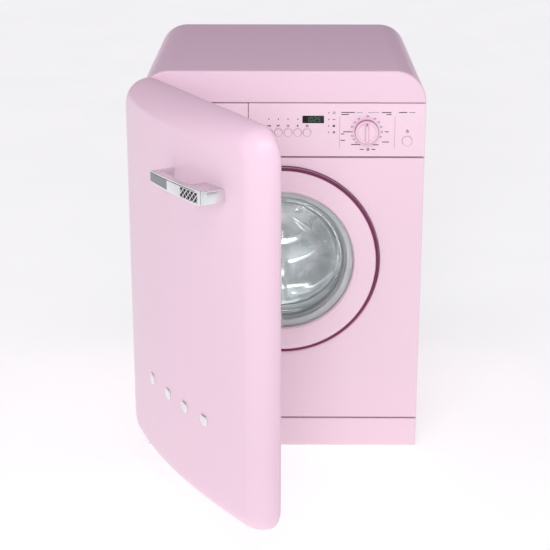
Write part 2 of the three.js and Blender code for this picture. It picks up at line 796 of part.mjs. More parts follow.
function spring(x) {
  const { y, z, radius, wire, turns } = SPRING;
  const coilBottom = z[0] + 14;
  const coilTop = z[1] - 14;
  const points = [[x, y, z[0] + 0.4], [x, y, z[0] + 7]];
  const steps = turns * 5;
  for (let i = 0; i <= steps; i++) {
    const turn = (i / 5) * 2 * Math.PI;
    const height = coilBottom + ((coilTop - coilBottom) * i) / steps;
    points.push([x + radius * Math.cos(turn), y + radius * Math.sin(turn), height]);
  }
  points.push([x, y, z[1] - 7], [x, y, z[1] + 0.2]);
  return tube(points, wire, steps + 8, 5);
}

const damperCylinder = (x) =>
  cut(
    rod("z", DAMPER.radius, DAMPER.z, [x, DAMPER.y], SMALL),
    rod("z", DAMPER.rod + 1, [50, 160], [x, DAMPER.y], SMALL),
  );

const damperRod = (x) =>
  join(
    rod("z", DAMPER.rod, [70, 226], [x, DAMPER.y], SMALL),
    box([x - 9, x + 9], [DAMPER.y - 9, DAMPER.y + 9], [218, 231.7]),
  );

// ---- drain ----
const drainPump = () => {
  const { x, z, radius, y } = PUMP;
  return join(
    rod("y", radius, [y[0], 110], [x, z]),
    rod("y", 24, [100, y[1]], [x, z]),
    box([x - 30, x + 30], [60, 110], [24.6, 60]),
  );
};

const sumpHose = () =>
  tube(
    [[40, 180, 171.4], [40, 180, 140], [52, 168, 106], [82, 110, 86], [104, 90, 84], [131.6, 90, 84]],
    13,
    14,
    8,
  );

const drainHose = () =>
  tube(
    [
      [PUMP.x, PUMP.y[1] + 0.6, PUMP.z],
      [PUMP.x, PUMP.y[1] + 24, PUMP.z],
      [190, 190, 78],
      [232, 226, 74],
      [270, 300, 80],
      [272, 440, 96],
      [272, 545, 160],
      [272, 566, 300],
      [272, 560, 560],
      [272, 564, 620],
      [272, 576, 648],
      [272, 590.5, 650],
    ],
    9,
    30,
    8,
  );

// ---- assembly ----
const machine = new THREE.Group();

function mesh(parent, name, geometry, look) {
  const piece = new THREE.Mesh(geometry, look);
  piece.name = name;
  parent.add(piece);
  return piece;
}

mesh(machine, "cabinet_wrap", cabinetWrap(), ENAMEL);
mesh(machine, "front_panel", frontPanel(), PANEL);
mesh(machine, "control_fascia", controlFascia(), PANEL);
mesh(machine, "plinth", plinth(), PANEL);
mesh(machine, "back_panel", backPanel(), GALVANISED);
mesh(machine, "base_pan", basePan(), GALVANISED);
const FEET = {
  front_left: [-255, 60],
  front_right: [255, 60],
  rear_left: [-255, 550],
  rear_right: [255, 550],
};
for (const [place, centre] of Object.entries(FEET))
  mesh(machine, "foot_" + place, foot(centre), BLACK_RUBBER);
mesh(machine, "suspension_crossbar", suspensionCrossbar(), GALVANISED);
mesh(machine, "outer_hinge_lower", outerHinge(DOOR.hinges[0]), STEEL);
mesh(machine, "outer_hinge_upper", outerHinge(DOOR.hinges[1]), STEEL);
mesh(machine, "porthole_hinge_plate", portholeHingePlate(), STEEL);
mesh(machine, "door_lock", doorLock(), DARK_POLYMER);
mesh(machine, "door_gasket", doorGasket(), RUBBER);
mesh(machine, "dispenser_housing", dispenserHousing(), POLYMER);
mesh(machine, "fill_hose", fillHose(), BLACK_RUBBER);
mesh(machine, "inlet_valve", inletValve(), WHITE_POLYMER);
mesh(machine, "control_board", controlBoard(), DARK_POLYMER);
mesh(machine, "display_window", displayWindow(), DISPLAY_BLACK);
mesh(machine, "drain_pump", drainPump(), WHITE_POLYMER);
mesh(machine, "drain_hose", drainHose(), DARK_POLYMER);
mesh(machine, "sump_hose", sumpHose(), BLACK_RUBBER);

// The porthole, the drawer and the controls stand shut and in their rest places.
const porthole = new THREE.Group();
mesh(porthole, "porthole_frame", portholeFrame(), PANEL);
mesh(porthole, "porthole_trim_ring", portholeTrimRing(), BURGUNDY);
mesh(porthole, "porthole_glass", portholeGlass(), GLASS);
mesh(porthole, "porthole_inner_frame", portholeInnerFrame(), WHITE_POLYMER);
mesh(porthole, "latch_hook", latchHook(), STEEL);

const drawer = new THREE.Group();
mesh(drawer, "drawer_front", drawerFront(), PANEL);
mesh(drawer, "drawer_tray", drawerTray(), WHITE_POLYMER);

const controls = new THREE.Group();
mesh(controls, "program_knob", programKnob(), PANEL);
BUTTONS.x.forEach((x, i) => {
  mesh(controls, "option_button_" + (i + 1), button(x, BUTTONS.z, BUTTONS.radius), PANEL);
});
mesh(controls, "power_button", button(POWER.x, POWER.z, POWER.radius), PANEL);

const washGroup = new THREE.Group();
mesh(washGroup, "tub_front", tubFront(), POLYMER);
mesh(washGroup, "tub_rear", tubRear(), POLYMER);
mesh(washGroup, "bearing_sleeve", bearingSleeve(), STEEL);
mesh(washGroup, "counterweight_front", counterweightFront(), CONCRETE);
mesh(washGroup, "counterweight_top", counterweightTop(), CONCRETE);
mesh(washGroup, "motor", motorBody(), GALVANISED);
mesh(washGroup, "motor_pulley", motorPulley(), STEEL);
mesh(washGroup, "drive_belt", driveBelt(), BLACK_RUBBER);
mesh(washGroup, "drum_basket", drumBasket(), STEEL);
mesh(washGroup, "drum_spider", drumSpider(), GALVANISED);
mesh(washGroup, "drum_pulley", drumPulley(), STEEL);
for (const [side, sign] of [["left", -1], ["right", 1]]) {
  mesh(machine, "spring_" + side, spring(sign * SPRING.x), GALVANISED);
  mesh(machine, "damper_cylinder_" + side, damperCylinder(sign * DAMPER.x), DARK_POLYMER);
  mesh(washGroup, "damper_rod_" + side, damperRod(sign * DAMPER.x), STEEL);
}

// The outer door is drawn closed, and its group turns it open about the hinge axis.
const outerDoor = new THREE.Group();
const doorPieces = new THREE.Group();
outerDoor.position.set(...DOOR.pivot, 0);
outerDoor.rotation.z = THREE.MathUtils.degToRad(-DOOR.open);
doorPieces.position.set(-DOOR.pivot[0], -DOOR.pivot[1], 0);
outerDoor.add(doorPieces);
mesh(doorPieces, "outer_door_skin", outerDoorSkin(), ENAMEL);
mesh(doorPieces, "outer_door_liner", outerDoorLiner(), WHITE_POLYMER);
mesh(doorPieces, "outer_door_seal", outerDoorSeal(), RUBBER);
mesh(doorPieces, "handle_casting", handleCasting(), CHROME);
mesh(doorPieces, "handle_faceplate", handleFaceplate(), CHROME);

machine.add(porthole, drawer, controls, washGroup, outerDoor);

// Origin at the bottom centre of the whole object's box.
const washer = new THREE.Group();
washer.add(machine);
const bounds = new THREE.Box3().setFromObject(machine, true);
const middle = bounds.getCenter(new THREE.Vector3());
machine.position.set(-middle.x, -middle.y, -bounds.min.z);

export default washer;
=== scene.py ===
"""The looks of a retro front-loading washing machine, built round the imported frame.

Pieces are drawn in millimetres in the cabinet's own frame: X = 0 on the centre line, Y = 0 on the
front face with the back at +Y, and Z = 0 on the floor. CABINET and DOOR turn that into row metres.
"""
import json
import math

import bmesh
import bpy
from mathutils import Matrix, Vector


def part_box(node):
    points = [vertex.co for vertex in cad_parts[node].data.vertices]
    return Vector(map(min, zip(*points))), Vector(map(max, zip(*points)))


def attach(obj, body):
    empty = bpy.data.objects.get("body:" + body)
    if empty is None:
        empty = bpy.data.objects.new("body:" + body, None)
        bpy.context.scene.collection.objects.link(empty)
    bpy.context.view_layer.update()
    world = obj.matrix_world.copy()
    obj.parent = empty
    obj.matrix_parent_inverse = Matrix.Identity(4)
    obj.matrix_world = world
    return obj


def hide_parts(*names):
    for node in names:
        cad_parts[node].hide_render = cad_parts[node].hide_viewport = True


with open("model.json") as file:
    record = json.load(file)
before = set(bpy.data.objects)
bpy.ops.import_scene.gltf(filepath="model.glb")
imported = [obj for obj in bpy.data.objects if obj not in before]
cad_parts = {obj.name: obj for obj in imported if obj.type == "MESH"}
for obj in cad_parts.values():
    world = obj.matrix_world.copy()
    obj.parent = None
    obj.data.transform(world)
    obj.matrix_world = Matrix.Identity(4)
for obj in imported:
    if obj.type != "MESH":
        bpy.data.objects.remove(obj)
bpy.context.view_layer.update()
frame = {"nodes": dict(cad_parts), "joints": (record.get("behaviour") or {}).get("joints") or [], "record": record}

# ---- places and sizes, from the frame ----
WRAP_LOW, WRAP_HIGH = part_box("cabinet_wrap")
JOINTS = {joint["name"]: joint for joint in frame["joints"]}
CABINET = Matrix.Translation(((WRAP_LOW.x + WRAP_HIGH.x) / 2, WRAP_LOW.y, 0)) @ Matrix.Scale(0.001, 4)
TO_MM = CABINET.inverted()
HALF = (WRAP_HIGH.x - WRAP_LOW.x) * 500
TOP = WRAP_HIGH.z * 1000
DEPTH = (WRAP_HIGH.y - WRAP_LOW.y) * 1000
BOTTOM = WRAP_LOW.z * 1000


def box_mm(node):
    """A CAD node's lowest and highest corners in the cabinet's millimetres."""
    low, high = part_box(node)
    return TO_MM @ low, TO_MM @ high


def middle_mm(node):
    """The middle of a CAD node's box, in the cabinet's millimetres."""
    low, high = box_mm(node)
    return (low + high) / 2


PIVOT = TO_MM @ Vector(JOINTS["outer_door_hinge"]["pos_m"])
DOOR_OPEN = math.radians(-JOINTS["outer_door_hinge"]["range_deg"][0])
DOOR = (
    CABINET
    @ Matrix.Translation((PIVOT.x, PIVOT.y, 0))
    @ Matrix.Rotation(-DOOR_OPEN, 4, "Z")
    @ Matrix.Translation((-PIVOT.x, -PIVOT.y, 0))
)
DOOR_LOW, DOOR_HIGH = box_mm("outer_door_skin")
DOOR_BOTTOM, DOOR_TOP = DOOR_LOW.z, DOOR_HIGH.z
AXIS = (TO_MM @ Vector(JOINTS["drum_spin"]["pos_m"])).z  # height of the drum's and the porthole's centre
PORTHOLE_HINGE = TO_MM @ Vector(JOINTS["porthole_hinge"]["pos_m"])
KNOB = TO_MM @ Vector(JOINTS["knob_turn"]["pos_m"])
OUTER_HINGES = ("outer_hinge_lower", "outer_hinge_upper")
BUTTON_NODES = [f"option_button_{i}" for i in range(1, 6)]

# ---- other sizes, in millimetres ----
CORNER = 65  # radius of the cabinet's upper corners
BAND_BOTTOM = 784  # lower edge of the hood's front band
FOLD = 18  # depth of a panel's folded edges
SHEET = 1.4  # thickness of a pressed sheet
GAP, EDGE, BULGE = 10, 50, 38  # outer door: gap behind it, thickness at its edge, extra in the middle
DOOR_CORNER, ROUND = 60, 42  # outer door: corner radius from the front, radius of the outer edges
LINER = 262  # half width of the liner's tray
LEAF_HALF, SLOT_HALF = 28, 5  # half heights of a hinge leaf and of the slot for its arm
RECESS, RECESS_DEPTH, MOUTH = 209, 22, 150  # dish round the porthole, and the hole in it
RING, RING_HOLE = 206, 152.5  # porthole ring, outside and inside
BAY = (-183.2, -69.8)  # the detergent drawer's bay, from left to right
LEFT_END, RIGHT_END, STAND, THICK = 22, 206, 45, 11  # handle bar: ends, distance from the door, thickness
HANDLE_LOW, HANDLE_HIGH, PLATE = 704, 732, 3  # handle's height, and thickness of its face plate
POLISHED = (91, 138)  # where the plate's polished middle starts and ends
KNURL_PITCH = 11.5
MARKS, MARK_HEIGHT = (-105, -19.5, 55.6, 130), 257  # the four studs on the door
DRUM_WALL, HOLES_ROUND = 226, 110  # inner radius of the drum, and the holes in one row round it
KNOB_RADIUS, KNOB_DEPTH = 24.7, 14
PRINT = (-0.14, 0.1)  # front and back of everything that is printed
LAMP_ROW, ICON_ROW = 749, 735
SIDE_LAMPS, SIDE_LAMP_X, SIDE_ICON_X = (762.6, 748.6, 735, 721.6), 96.3, 107
DIAL_ROW = 31.5  # radius of the ring of numbers round the knob
DIGIT_WIDE, DIGIT_TALL, DIGIT_LINE = 4.2, 4.3, 0.95  # a digit is two DIGIT_TALL high

# ---- camera and light ----
EYE, AIM, LENS = (8, -2994, 1426), (-15.3, 0, 407.6), 96.3
AMBIENT = 0.44  # strength of the world's light
FLOOR_REACH = 40  # half the floor's width in metres


# ---- mesh helpers ----
def added(name, data):
    """A new object in the scene."""
    obj = bpy.data.objects.new(name, data)
    bpy.context.scene.collection.objects.link(obj)
    return obj


def from_bmesh(name, shape):
    mesh = bpy.data.meshes.new(name)
    shape.to_mesh(mesh)
    shape.free()
    return added(name, mesh)


def around_axis(degrees):
    """Cabinet millimetres, turned about the drum's axis."""
    return CABINET @ Matrix.Translation((0, 0, AXIS)) @ Matrix.Rotation(math.radians(degrees), 4, "Y")


def finish_piece(obj, body, look, replaces=(), crease=32):
    """Rides, takes its material and is shaded smooth up to an angle."""
    mesh = obj.data
    mesh.materials.clear()
    mesh.materials.append(look)
    for polygon in mesh.polygons:
        polygon.use_smooth = True
    mesh.set_sharp_from_angle(angle=math.radians(crease))
    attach(obj, body)
    if replaces:
        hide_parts(*replaces)
    return obj


def raw(name, vertices, faces, place=CABINET):
    mesh = bpy.data.meshes.new(name)
    mesh.from_pydata([place @ Vector(v) for v in vertices], [], faces)
    obj = added(name, mesh)
    shape = bmesh.new()
    shape.from_mesh(mesh)
    bmesh.ops.remove_doubles(shape, verts=shape.verts, dist=1e-6)
    loose = [v for v in shape.verts if not v.link_faces]
    bmesh.ops.delete(shape, geom=loose, context="VERTS")
    bmesh.ops.recalc_face_normals(shape, faces=shape.faces)
    shape.to_mesh(mesh)
    shape.free()
    return obj


def loft(name, loops, place=CABINET, closed=True, cap_start=False, cap_end=False, wrap=False):
    """Quads between loops of equal length. closed joins each loop's ends, wrap joins last to first."""
    count = len(loops[0])
    vertices = [point for loop in loops for point in loop]
    faces = []
    rows = len(loops) if wrap else len(loops) - 1
    for i in range(rows):
        a, b = i * count, ((i + 1) % len(loops)) * count
        for j in range(count if closed else count - 1):
            k = (j + 1) % count
            faces.append((a + j, a + k, b + k, b + j))
    if cap_start:
        faces.append(tuple(range(count))[::-1])
    if cap_end:
        faces.append(tuple(range((len(loops) - 1) * count, len(loops) * count)))
    return raw(name, vertices, faces, place)


def lathe(name, profile, sides=96, centre=(0, AXIS), closed=True, place=CABINET, axis="y"):
    """Turns (radius, distance) points about a line along Y or Z. centre gives the other two axes."""
    loops = []
    for i in range(sides):
        turn = 2 * math.pi * i / sides
        c, s = math.cos(turn), math.sin(turn)
        points = [(centre[0] + r * c, centre[1] + r * s, along) for r, along in profile]
        loops.append([(a, along, b) for a, b, along in points] if axis == "y" else points)
    return loft(name, loops, place, closed=closed, wrap=True)


def softened(points, radius, steps=4, closed=True):
    """A polyline with its corners rounded."""
    result = []
    count = len(points)
    for i, point in enumerate(points):
        if not closed and i in (0, count - 1):
            result.append(point)
            continue
        here, before, after = (Vector(points[k % count]) for k in (i, i - 1, i + 1))
        reach = min(radius, 0.45 * (before - here).length, 0.45 * (after - here).length)
        start = here + (before - here).normalized() * reach
        end = here + (after - here).normalized() * reach
        for k in range(steps + 1):
            t = k / steps
            result.append(tuple((1 - t) ** 2 * start + 2 * t * (1 - t) * here + t * t * end))
    return result


def block(name, x, y, z, radius=0, place=CABINET, edges=None, segments=4):
    """A box with rounded edges. edges picks which ones by their middle point, in millimetres."""
    shape = bmesh.new()
    bmesh.ops.create_cube(shape, size=1)
    for v in shape.verts:
        v.co = Vector(((x[0] if v.co.x < 0 else x[1]), (y[0] if v.co.y < 0 else y[1]),
                       (z[0] if v.co.z < 0 else z[1])))
    if radius:
        picked = [e for e in shape.edges if edges is None or edges((e.verts[0].co + e.verts[1].co) / 2)]
        bmesh.ops.bevel(shape, geom=picked, offset=radius, segments=segments, profile=0.5, affect="EDGES")
    shape.transform(place)
    bmesh.ops.recalc_face_normals(shape, faces=shape.faces)
    return from_bmesh(name, shape)


def rod(name, axis, radius, span, centre, sides=64, place=CABINET, soft=0):
    """A closed round bar along Y or Z, with softened ends."""
    low, high = span
    ends = [(0, low), (radius, low), (radius, high), (0, high)]
    profile = softened(ends, soft, 4, closed=False) if soft else ends
    return lathe(name, profile, sides, centre, False, place, axis)


def applied(obj):
    """Turns the object's modifiers into mesh."""
    graph = bpy.context.evaluated_depsgraph_get()
    mesh = bpy.data.meshes.new_from_object(obj.evaluated_get(graph))
    obj.modifiers.clear()
    obj.data = mesh
    return obj


def boolean(obj, tools, operation="DIFFERENCE"):
    """Cuts, joins or intersects closed meshes, and removes the tools."""
    for tool in tools:
        modifier = obj.modifiers.new("cut", "BOOLEAN")
        modifier.operation = operation
        modifier.solver = "MANIFOLD"
        modifier.object = tool
    bpy.context.view_layer.update()
    applied(obj)
    for tool in tools:
        bpy.data.objects.remove(tool)
    return obj


def joined(name, parts):
    """One object from several, without cutting them."""
    shape = bmesh.new()
    for part in parts:
        shape.from_mesh(part.data)
        bpy.data.objects.remove(part)
    return from_bmesh(name, shape)


def spread(obj):
    """The widths of an object's mesh along the three axes, added up."""
    corners = [[v.co[i] for v in obj.data.vertices] for i in range(3)]
    return sum(max(c) - min(c) for c in corners)


def thicken(obj, thickness):
    """Gives a sheet its thickness on the side that doesn't make it bigger, and turns every face outward."""
    sheet = obj.data.copy()
    before = spread(obj)
    for offset in (-1, 1):
        obj.data = sheet.copy()
        modifier = obj.modifiers.new("sheet", "SOLIDIFY")
        modifier.thickness = thickness / 1000
        modifier.offset = offset
        modifier.use_even_offset = True
        applied(obj)
        if spread(obj) < before + 1e-4:
            break
    shape = bmesh.new()
    shape.from_mesh(obj.data)
    bmesh.ops.recalc_face_normals(shape, faces=shape.faces)
    shape.to_mesh(obj.data)
    shape.free()
    return obj


def steady_normals(obj):
    """Keeps big flat faces flat beside small rounded edges."""
    modifier = obj.modifiers.new("normals", "WEIGHTED_NORMAL")
    modifier.keep_sharp = True
    modifier.weight = 90


def rounded_loop(half, low, high, corner, inset=0):
    """A rounded rectangle in X and Z, drawn in by an inset, always with the same number of points."""
    arc, wide, tall = 12, 16, 20  # steps of a corner, a level side and an upright side
    r = max(corner - inset, 0.5)
    x1, z0, z1 = half - inset, low + inset, high - inset
    points = []
    corners = [(x1 - r, z0 + r, -90), (x1 - r, z1 - r, 0), (r - x1, z1 - r, 90), (r - x1, z0 + r, 180)]
    for i, (cx, cz, start) in enumerate(corners):
        for k in range(arc + 1):
            angle = math.radians(start + 90 * k / arc)
            points.append((cx + r * math.cos(angle), cz + r * math.sin(angle)))
        nx, nz, nstart = corners[(i + 1) % 4]
        angle = math.radians(nstart)
        end = (nx + r * math.cos(angle), nz + r * math.sin(angle))
        begin = points[-1]
        steps = tall if i % 2 == 0 else wide
        for k in range(1, steps):
            t = k / steps
            points.append((begin[0] + (end[0] - begin[0]) * t, begin[1] + (end[1] - begin[1]) * t))
    return points


# ---- materials ----
def srgb(code):
    """A hex colour as linear values."""
    values = [int(code[i:i + 2], 16) / 255 for i in (0, 2, 4)]
    return [v / 12.92 if v <= 0.04045 else ((v + 0.055) / 1.055) ** 2.4 for v in values] + [1]


class Look:
    """A material under construction: a Principled shader with helpers for its texture nodes."""

    def __init__(self, name):
        self.material = bpy.data.materials.new(name)
        self.material.use_nodes = True
        self.nodes = self.material.node_tree.nodes
        self.links = self.material.node_tree.links
        self.shader = self.nodes["Principled BSDF"]
        self.place = self.nodes.new("ShaderNodeTexCoord").outputs["Object"]

    def set(self, **values):
        for name, value in values.items():
            self.shader.inputs[name.replace("_", " ").title().replace("Ior", "IOR")].default_value = value

    def noise(self, scale, detail=4, roughness=0.5, stretch=(1, 1, 1)):
        mapping = self.nodes.new("ShaderNodeMapping")
        mapping.inputs["Scale"].default_value = stretch
        self.links.new(self.place, mapping.inputs["Vector"])
        texture = self.nodes.new("ShaderNodeTexNoise")
        texture.inputs["Scale"].default_value = scale
        texture.inputs["Detail"].default_value = detail
        texture.inputs["Roughness"].default_value = roughness
        self.links.new(mapping.outputs["Vector"], texture.inputs["Vector"])
        return texture.outputs["Fac"]

    def ramp(self, source, low, high, start=0.3, end=0.7):
        """Blends two colours, or two numbers as greys, across a texture's range."""
        ramp = self.nodes.new("ShaderNodeValToRGB")
        for element, place, value in zip(ramp.color_ramp.elements, (start, end), (low, high)):
            element.position = place
            element.color = value if isinstance(value, (list, tuple)) else (value, value, value, 1)
        self.links.new(source, ramp.inputs["Fac"])
        return ramp.outputs["Color"]

    def color(self, source):
        self.links.new(source, self.shader.inputs["Base Color"])

    def roughness(self, source):
        self.links.new(source, self.shader.inputs["Roughness"])

    def bump(self, source, strength=0.1, distance=0.0005):
        bump = self.nodes.new("ShaderNodeBump")
        bump.inputs["Strength"].default_value = strength
        bump.inputs["Distance"].default_value = distance
        if self.shader.inputs["Normal"].is_linked:
            self.links.new(self.shader.inputs["Normal"].links[0].from_socket, bump.inputs["Normal"])
        self.links.new(source, bump.inputs["Height"])
        self.links.new(bump.outputs["Normal"], self.shader.inputs["Normal"])

    def math(self, operation, *values):
        node = self.nodes.new("ShaderNodeMath")
        node.operation = operation
        for socket, value in zip(node.inputs, values):
            if isinstance(value, (int, float)):
                socket.default_value = value
            else:
                self.links.new(value, socket)
        return node.outputs[0]

    def axes(self):
        split = self.nodes.new("ShaderNodeSeparateXYZ")
        self.links.new(self.place, split.inputs[0])
        return split.outputs


def painted(name, colour, darker, roughness, coat):
    """Gloss paint on steel: fine orange peel, a faint drift in tone and a clear coat."""
    look = Look(name)
    look.color(look.ramp(look.noise(3.0, 3), srgb(darker), srgb(colour), 0.25, 0.75))
    look.roughness(look.ramp(look.noise(14, 2), roughness - 0.015, roughness + 0.02))
    look.bump(look.noise(1100, 1), 0.02, 0.0001)
    look.set(coat_weight=coat, coat_roughness=0.1, specular_ior_level=0.36)
    return look.material


def plastic(name, colour, darker, roughness=0.42, grain=1400, depth=0.12):
    """Moulded plastic with a fine spark-eroded grain."""
    look = Look(name)
    look.color(look.ramp(look.noise(12, 3), srgb(darker), srgb(colour)))
    look.roughness(look.ramp(look.noise(30, 2), roughness - 0.03, roughness + 0.03))
    look.bump(look.noise(grain, 2), depth, 0.0001)
    return look.material


def brushed(name, colour, darker, stretch, roughness=0.3):
    """Metal with long fine brush lines across one direction."""
    look = Look(name)
    grain = look.noise(260, 6, 0.7, stretch)
    look.color(look.ramp(grain, srgb(darker), srgb(colour)))
    look.roughness(look.ramp(grain, roughness - 0.08, roughness + 0.12))
    look.bump(grain, 0.12, 0.0002)
    look.set(metallic=1.0)
    return look.material


def chrome(name, roughness=0.06):
    look = Look(name)
    look.color(look.ramp(look.noise(18, 4), srgb("dcdee0"), srgb("f1f2f3")))
    look.roughness(look.ramp(look.noise(30, 3), roughness - 0.01, roughness + 0.03, 0.35, 0.8))
    look.bump(look.noise(900, 2), 0.008, 0.0001)
    look.set(metallic=1.0)
    return look.material


def rubber(name, colour, darker, roughness=0.62):
    look = Look(name)
    look.color(look.ramp(look.noise(30, 5), srgb(darker), srgb(colour)))
    look.roughness(look.ramp(look.noise(140, 4), roughness - 0.08, roughness + 0.1))
    look.bump(look.noise(2200, 3), 0.25, 0.0001)
    return look.material


def galvanised(name):
    """Zinc-coated steel: crystal spangle and dull variation."""
    look = Look(name)
    cells = look.nodes.new("ShaderNodeTexVoronoi")
    cells.inputs["Scale"].default_value = 150
    look.links.new(look.place, cells.inputs["Vector"])
    tone = look.nodes.new("ShaderNodeSeparateColor")
    look.links.new(cells.outputs["Color"], tone.inputs[0])
    look.color(look.ramp(tone.outputs[0], srgb("b4b8bb"), srgb("c4c8cb"), 0.0, 1.0))
    look.roughness(look.ramp(tone.outputs[1], 0.4, 0.5, 0.0, 1.0))
    look.bump(look.noise(500, 3), 0.06, 0.0002)
    look.set(metallic=0.9)
    return look.material


def concrete(name):
    look = Look(name)
    look.color(look.ramp(look.noise(45, 8, 0.65), srgb("7f7e78"), srgb("aaa8a2")))
    look.roughness(look.ramp(look.noise(80, 4), 0.8, 0.98))
    look.bump(look.noise(240, 8, 0.7), 0.5, 0.0012)
    return look.material


def clear_glass(name):
    """Slightly tinted pressed glass with a faint waviness."""
    look = Look(name)
    look.color(look.ramp(look.noise(6, 2), srgb("eef4f3"), srgb("fbfdfd")))
    look.roughness(look.ramp(look.noise(30, 3), 0.0, 0.02))
    look.bump(look.noise(25, 1), 0.04, 0.002)
    look.set(transmission_weight=1.0, ior=1.5)
    return look.material


MIX_A, MIX_B, MIX_RESULT = 6, 7, 2  # a Mix node's colour sockets


def colour_mix(nodes, links, factor):
    mix = nodes.new("ShaderNodeMix")
    mix.data_type = "RGBA"
    links.new(factor, mix.inputs["Factor"])
    return mix


def perforated_steel(name):
    """Drum sheet: bright steel with rows of small holes, staggered, each with a rolled edge; the holes are painted
    near-black as shade of the space behind.
    """
    look = Look(name)
    x, y, z = look.axes()
    centre = CABINET @ Vector((0, 0, AXIS))
    sum_of = lambda a, b: look.math("ADD", a, b)
    times = lambda a, b: look.math("MULTIPLY", a, b)
    length = lambda a, b: look.math("SQRT", sum_of(times(a, a), times(b, b)))
    in_cell = lambda a: look.math("SUBTRACT", look.math("FRACT", sum_of(a, 1000)), 0.5)
    dx = look.math("SUBTRACT", x, centre.x)
    dz = look.math("SUBTRACT", z, centre.z)
    wall = DRUM_WALL / 1000
    round_about = times(look.math("ARCTAN2", dz, dx), wall)
    pitch = wall * 2 * math.pi / HOLES_ROUND
    row_gap = 0.866  # rows of a triangular pattern, in pitches
    row = look.math("DIVIDE", y, pitch * row_gap)
    stagger = times(look.math("MODULO", look.math("FLOOR", sum_of(row, 1000)), 2), 0.5)
    column = sum_of(look.math("DIVIDE", round_about, pitch), stagger)
    away = length(in_cell(column), times(in_cell(row), row_gap))
    on_wall = look.math("GREATER_THAN", length(dx, dz), wall - 0.0025)
    hole = times(look.math("LESS_THAN", away, 0.2), on_wall)
    rim = look.ramp(away, 0.0, 1.0, 0.18, 0.36)
    grain = look.noise(40, 3, 0.5, (1, 6, 1))
    steel = look.ramp(grain, srgb("dfe1e3"), srgb("f1f2f3"))
    mix = colour_mix(look.nodes, look.links, hole)
    look.links.new(steel, mix.inputs[MIX_A])
    # near-black painted shade for the dark space seen through each hole
    mix.inputs[MIX_B].default_value = srgb("17181a")
    look.color(mix.outputs[MIX_RESULT])
    look.roughness(look.ramp(grain, 0.17, 0.24))
    look.bump(times(rim, on_wall), 0.35, 0.0006)
    look.set(metallic=0.8)
    return look.material


def knurled_chrome(name):
    """Bright crossed ridges over valleys darkened with painted shade, in step with the ridges of the handle's end."""
    look = Look(name)
    x, y, z = look.axes()
    turned_x = look.math("MULTIPLY", x, math.cos(DOOR_OPEN))
    turned_y = look.math("MULTIPLY", y, -math.sin(DOOR_OPEN))
    start = DOOR.inverted() @ Vector((0, 0, 0))
    along = look.math("ADD", look.math("ADD", turned_x, turned_y), start.x / 1000)
    a = look.math("DIVIDE", look.math("ADD", along, z), KNURL_PITCH / 1000)
    b = look.math("DIVIDE", look.math("SUBTRACT", along, z), KNURL_PITCH / 1000)
    valley = look.math("MINIMUM", look.math("PINGPONG", a, 0.5), look.math("PINGPONG", b, 0.5))
    # the near-black valleys are painted shade in the knurl's hollows; their higher roughness is real
    look.color(look.ramp(valley, srgb("f2f3f4"), srgb("26282a"), 0.07, 0.15))
    look.roughness(look.ramp(valley, 0.12, 0.42, 0.07, 0.15))
    look.set(metallic=1.0)
    return look.material


def glowing(name, colour, strength):
    look = Look(name)
    tone = look.ramp(look.noise(400, 2), srgb(colour), srgb(colour), 0.2, 0.8)
    look.color(tone)
    look.links.new(tone, look.shader.inputs["Emission Color"])
    look.set(emission_strength=strength, roughness=0.4)
    return look.material


ENAMEL = painted("pink_enamel", "edcddd", "ebc9db", 0.32, 0.14)
PANEL_PAINT = painted("pink_panel_paint", "f0d2e0", "eecfde", 0.38, 0.15)
PINK_PLASTIC = plastic("pink_plastic", "f1d4e1", "efd1df", 0.38, 1800, 0.03)
BURGUNDY = plastic("burgundy_plastic", "7d1456", "6c0f49", 0.42, 1500, 0.03)
# the darker rose on the knob's side wall is painted shade along its rolled edge
ROSE_RIM_SHADE = plastic("rose_rim_shade_plastic", "b4508a", "a6457c", 0.36, 1500, 0.03)
CHROME = chrome("polished_chrome")
SATIN_CHROME = chrome("satin_chrome", 0.26)
KNURL = knurled_chrome("knurled_chrome")
STEEL = brushed("brushed_steel", "c9ccd0", "a7abaf", (1, 1, 12))
DRUM_STEEL = perforated_steel("perforated_drum_steel")
ZINC = galvanised("zinc_coated_steel")
# satin steel for the handle's inlay; its darker grey is also painted shade for the plate's duller reflection there
SATIN_AND_SHADE = brushed("satin_steel_and_shade", "a4a8aa", "8c9092", (14, 14, 1), 0.34)
CAST = brushed("cast_aluminium", "b2b5b8", "96999c", (3, 3, 3), 0.45)
GLASS = clear_glass("pressed_glass")
GREY_RUBBER = rubber("grey_rubber", "d2d5d7", "c2c5c7")
BLACK_RUBBER = rubber("black_rubber", "232325", "161617")
WHITE_PLASTIC = plastic("white_plastic", "f4f1f2", "f0edee", 0.42, 900, 0.04)
GREY_POLYMER = plastic("grey_polymer", "cfd2d4", "bcbfc2", 0.5, 700, 0.2)
# dark plastic parts, and also the painted shade of the gap under the handle plate's lip
DARK_PLASTIC_AND_SHADE = plastic("dark_plastic", "303236", "232528")
CONCRETE = concrete("cast_concrete")
DISPLAY = plastic("smoked_display", "0c0f0d", "060807", 0.1, 800, 0.02)
DIGITS = glowing("green_digits", "3c7d50", 0.12)
PRINT_INK = plastic("printed_ink", "4a2a42", "3b2034", 0.5, 900, 0.02)
BLUE_INK = plastic("blue_printed_ink", "3f4f96", "34427f", 0.5, 900, 0.02)
LINE_INK = plastic("dividing_line_ink", "c08fb6", "b684ac", 0.5, 900, 0.02)
LAMP = plastic("lamp_lens", "4a2040", "35142e", 0.2, 900, 0.02)


# ---- cabinet ----
def upper_corner(inset, steps):
    """The cabinet's upper left corner as (x, z), from the side to the top."""
    r = CORNER - inset
    for k in range(steps + 1):
        angle = math.pi - (math.pi / 2) * k / steps
        yield r - (HALF - inset) + r * math.cos(angle), TOP - inset - r + r * math.sin(angle)


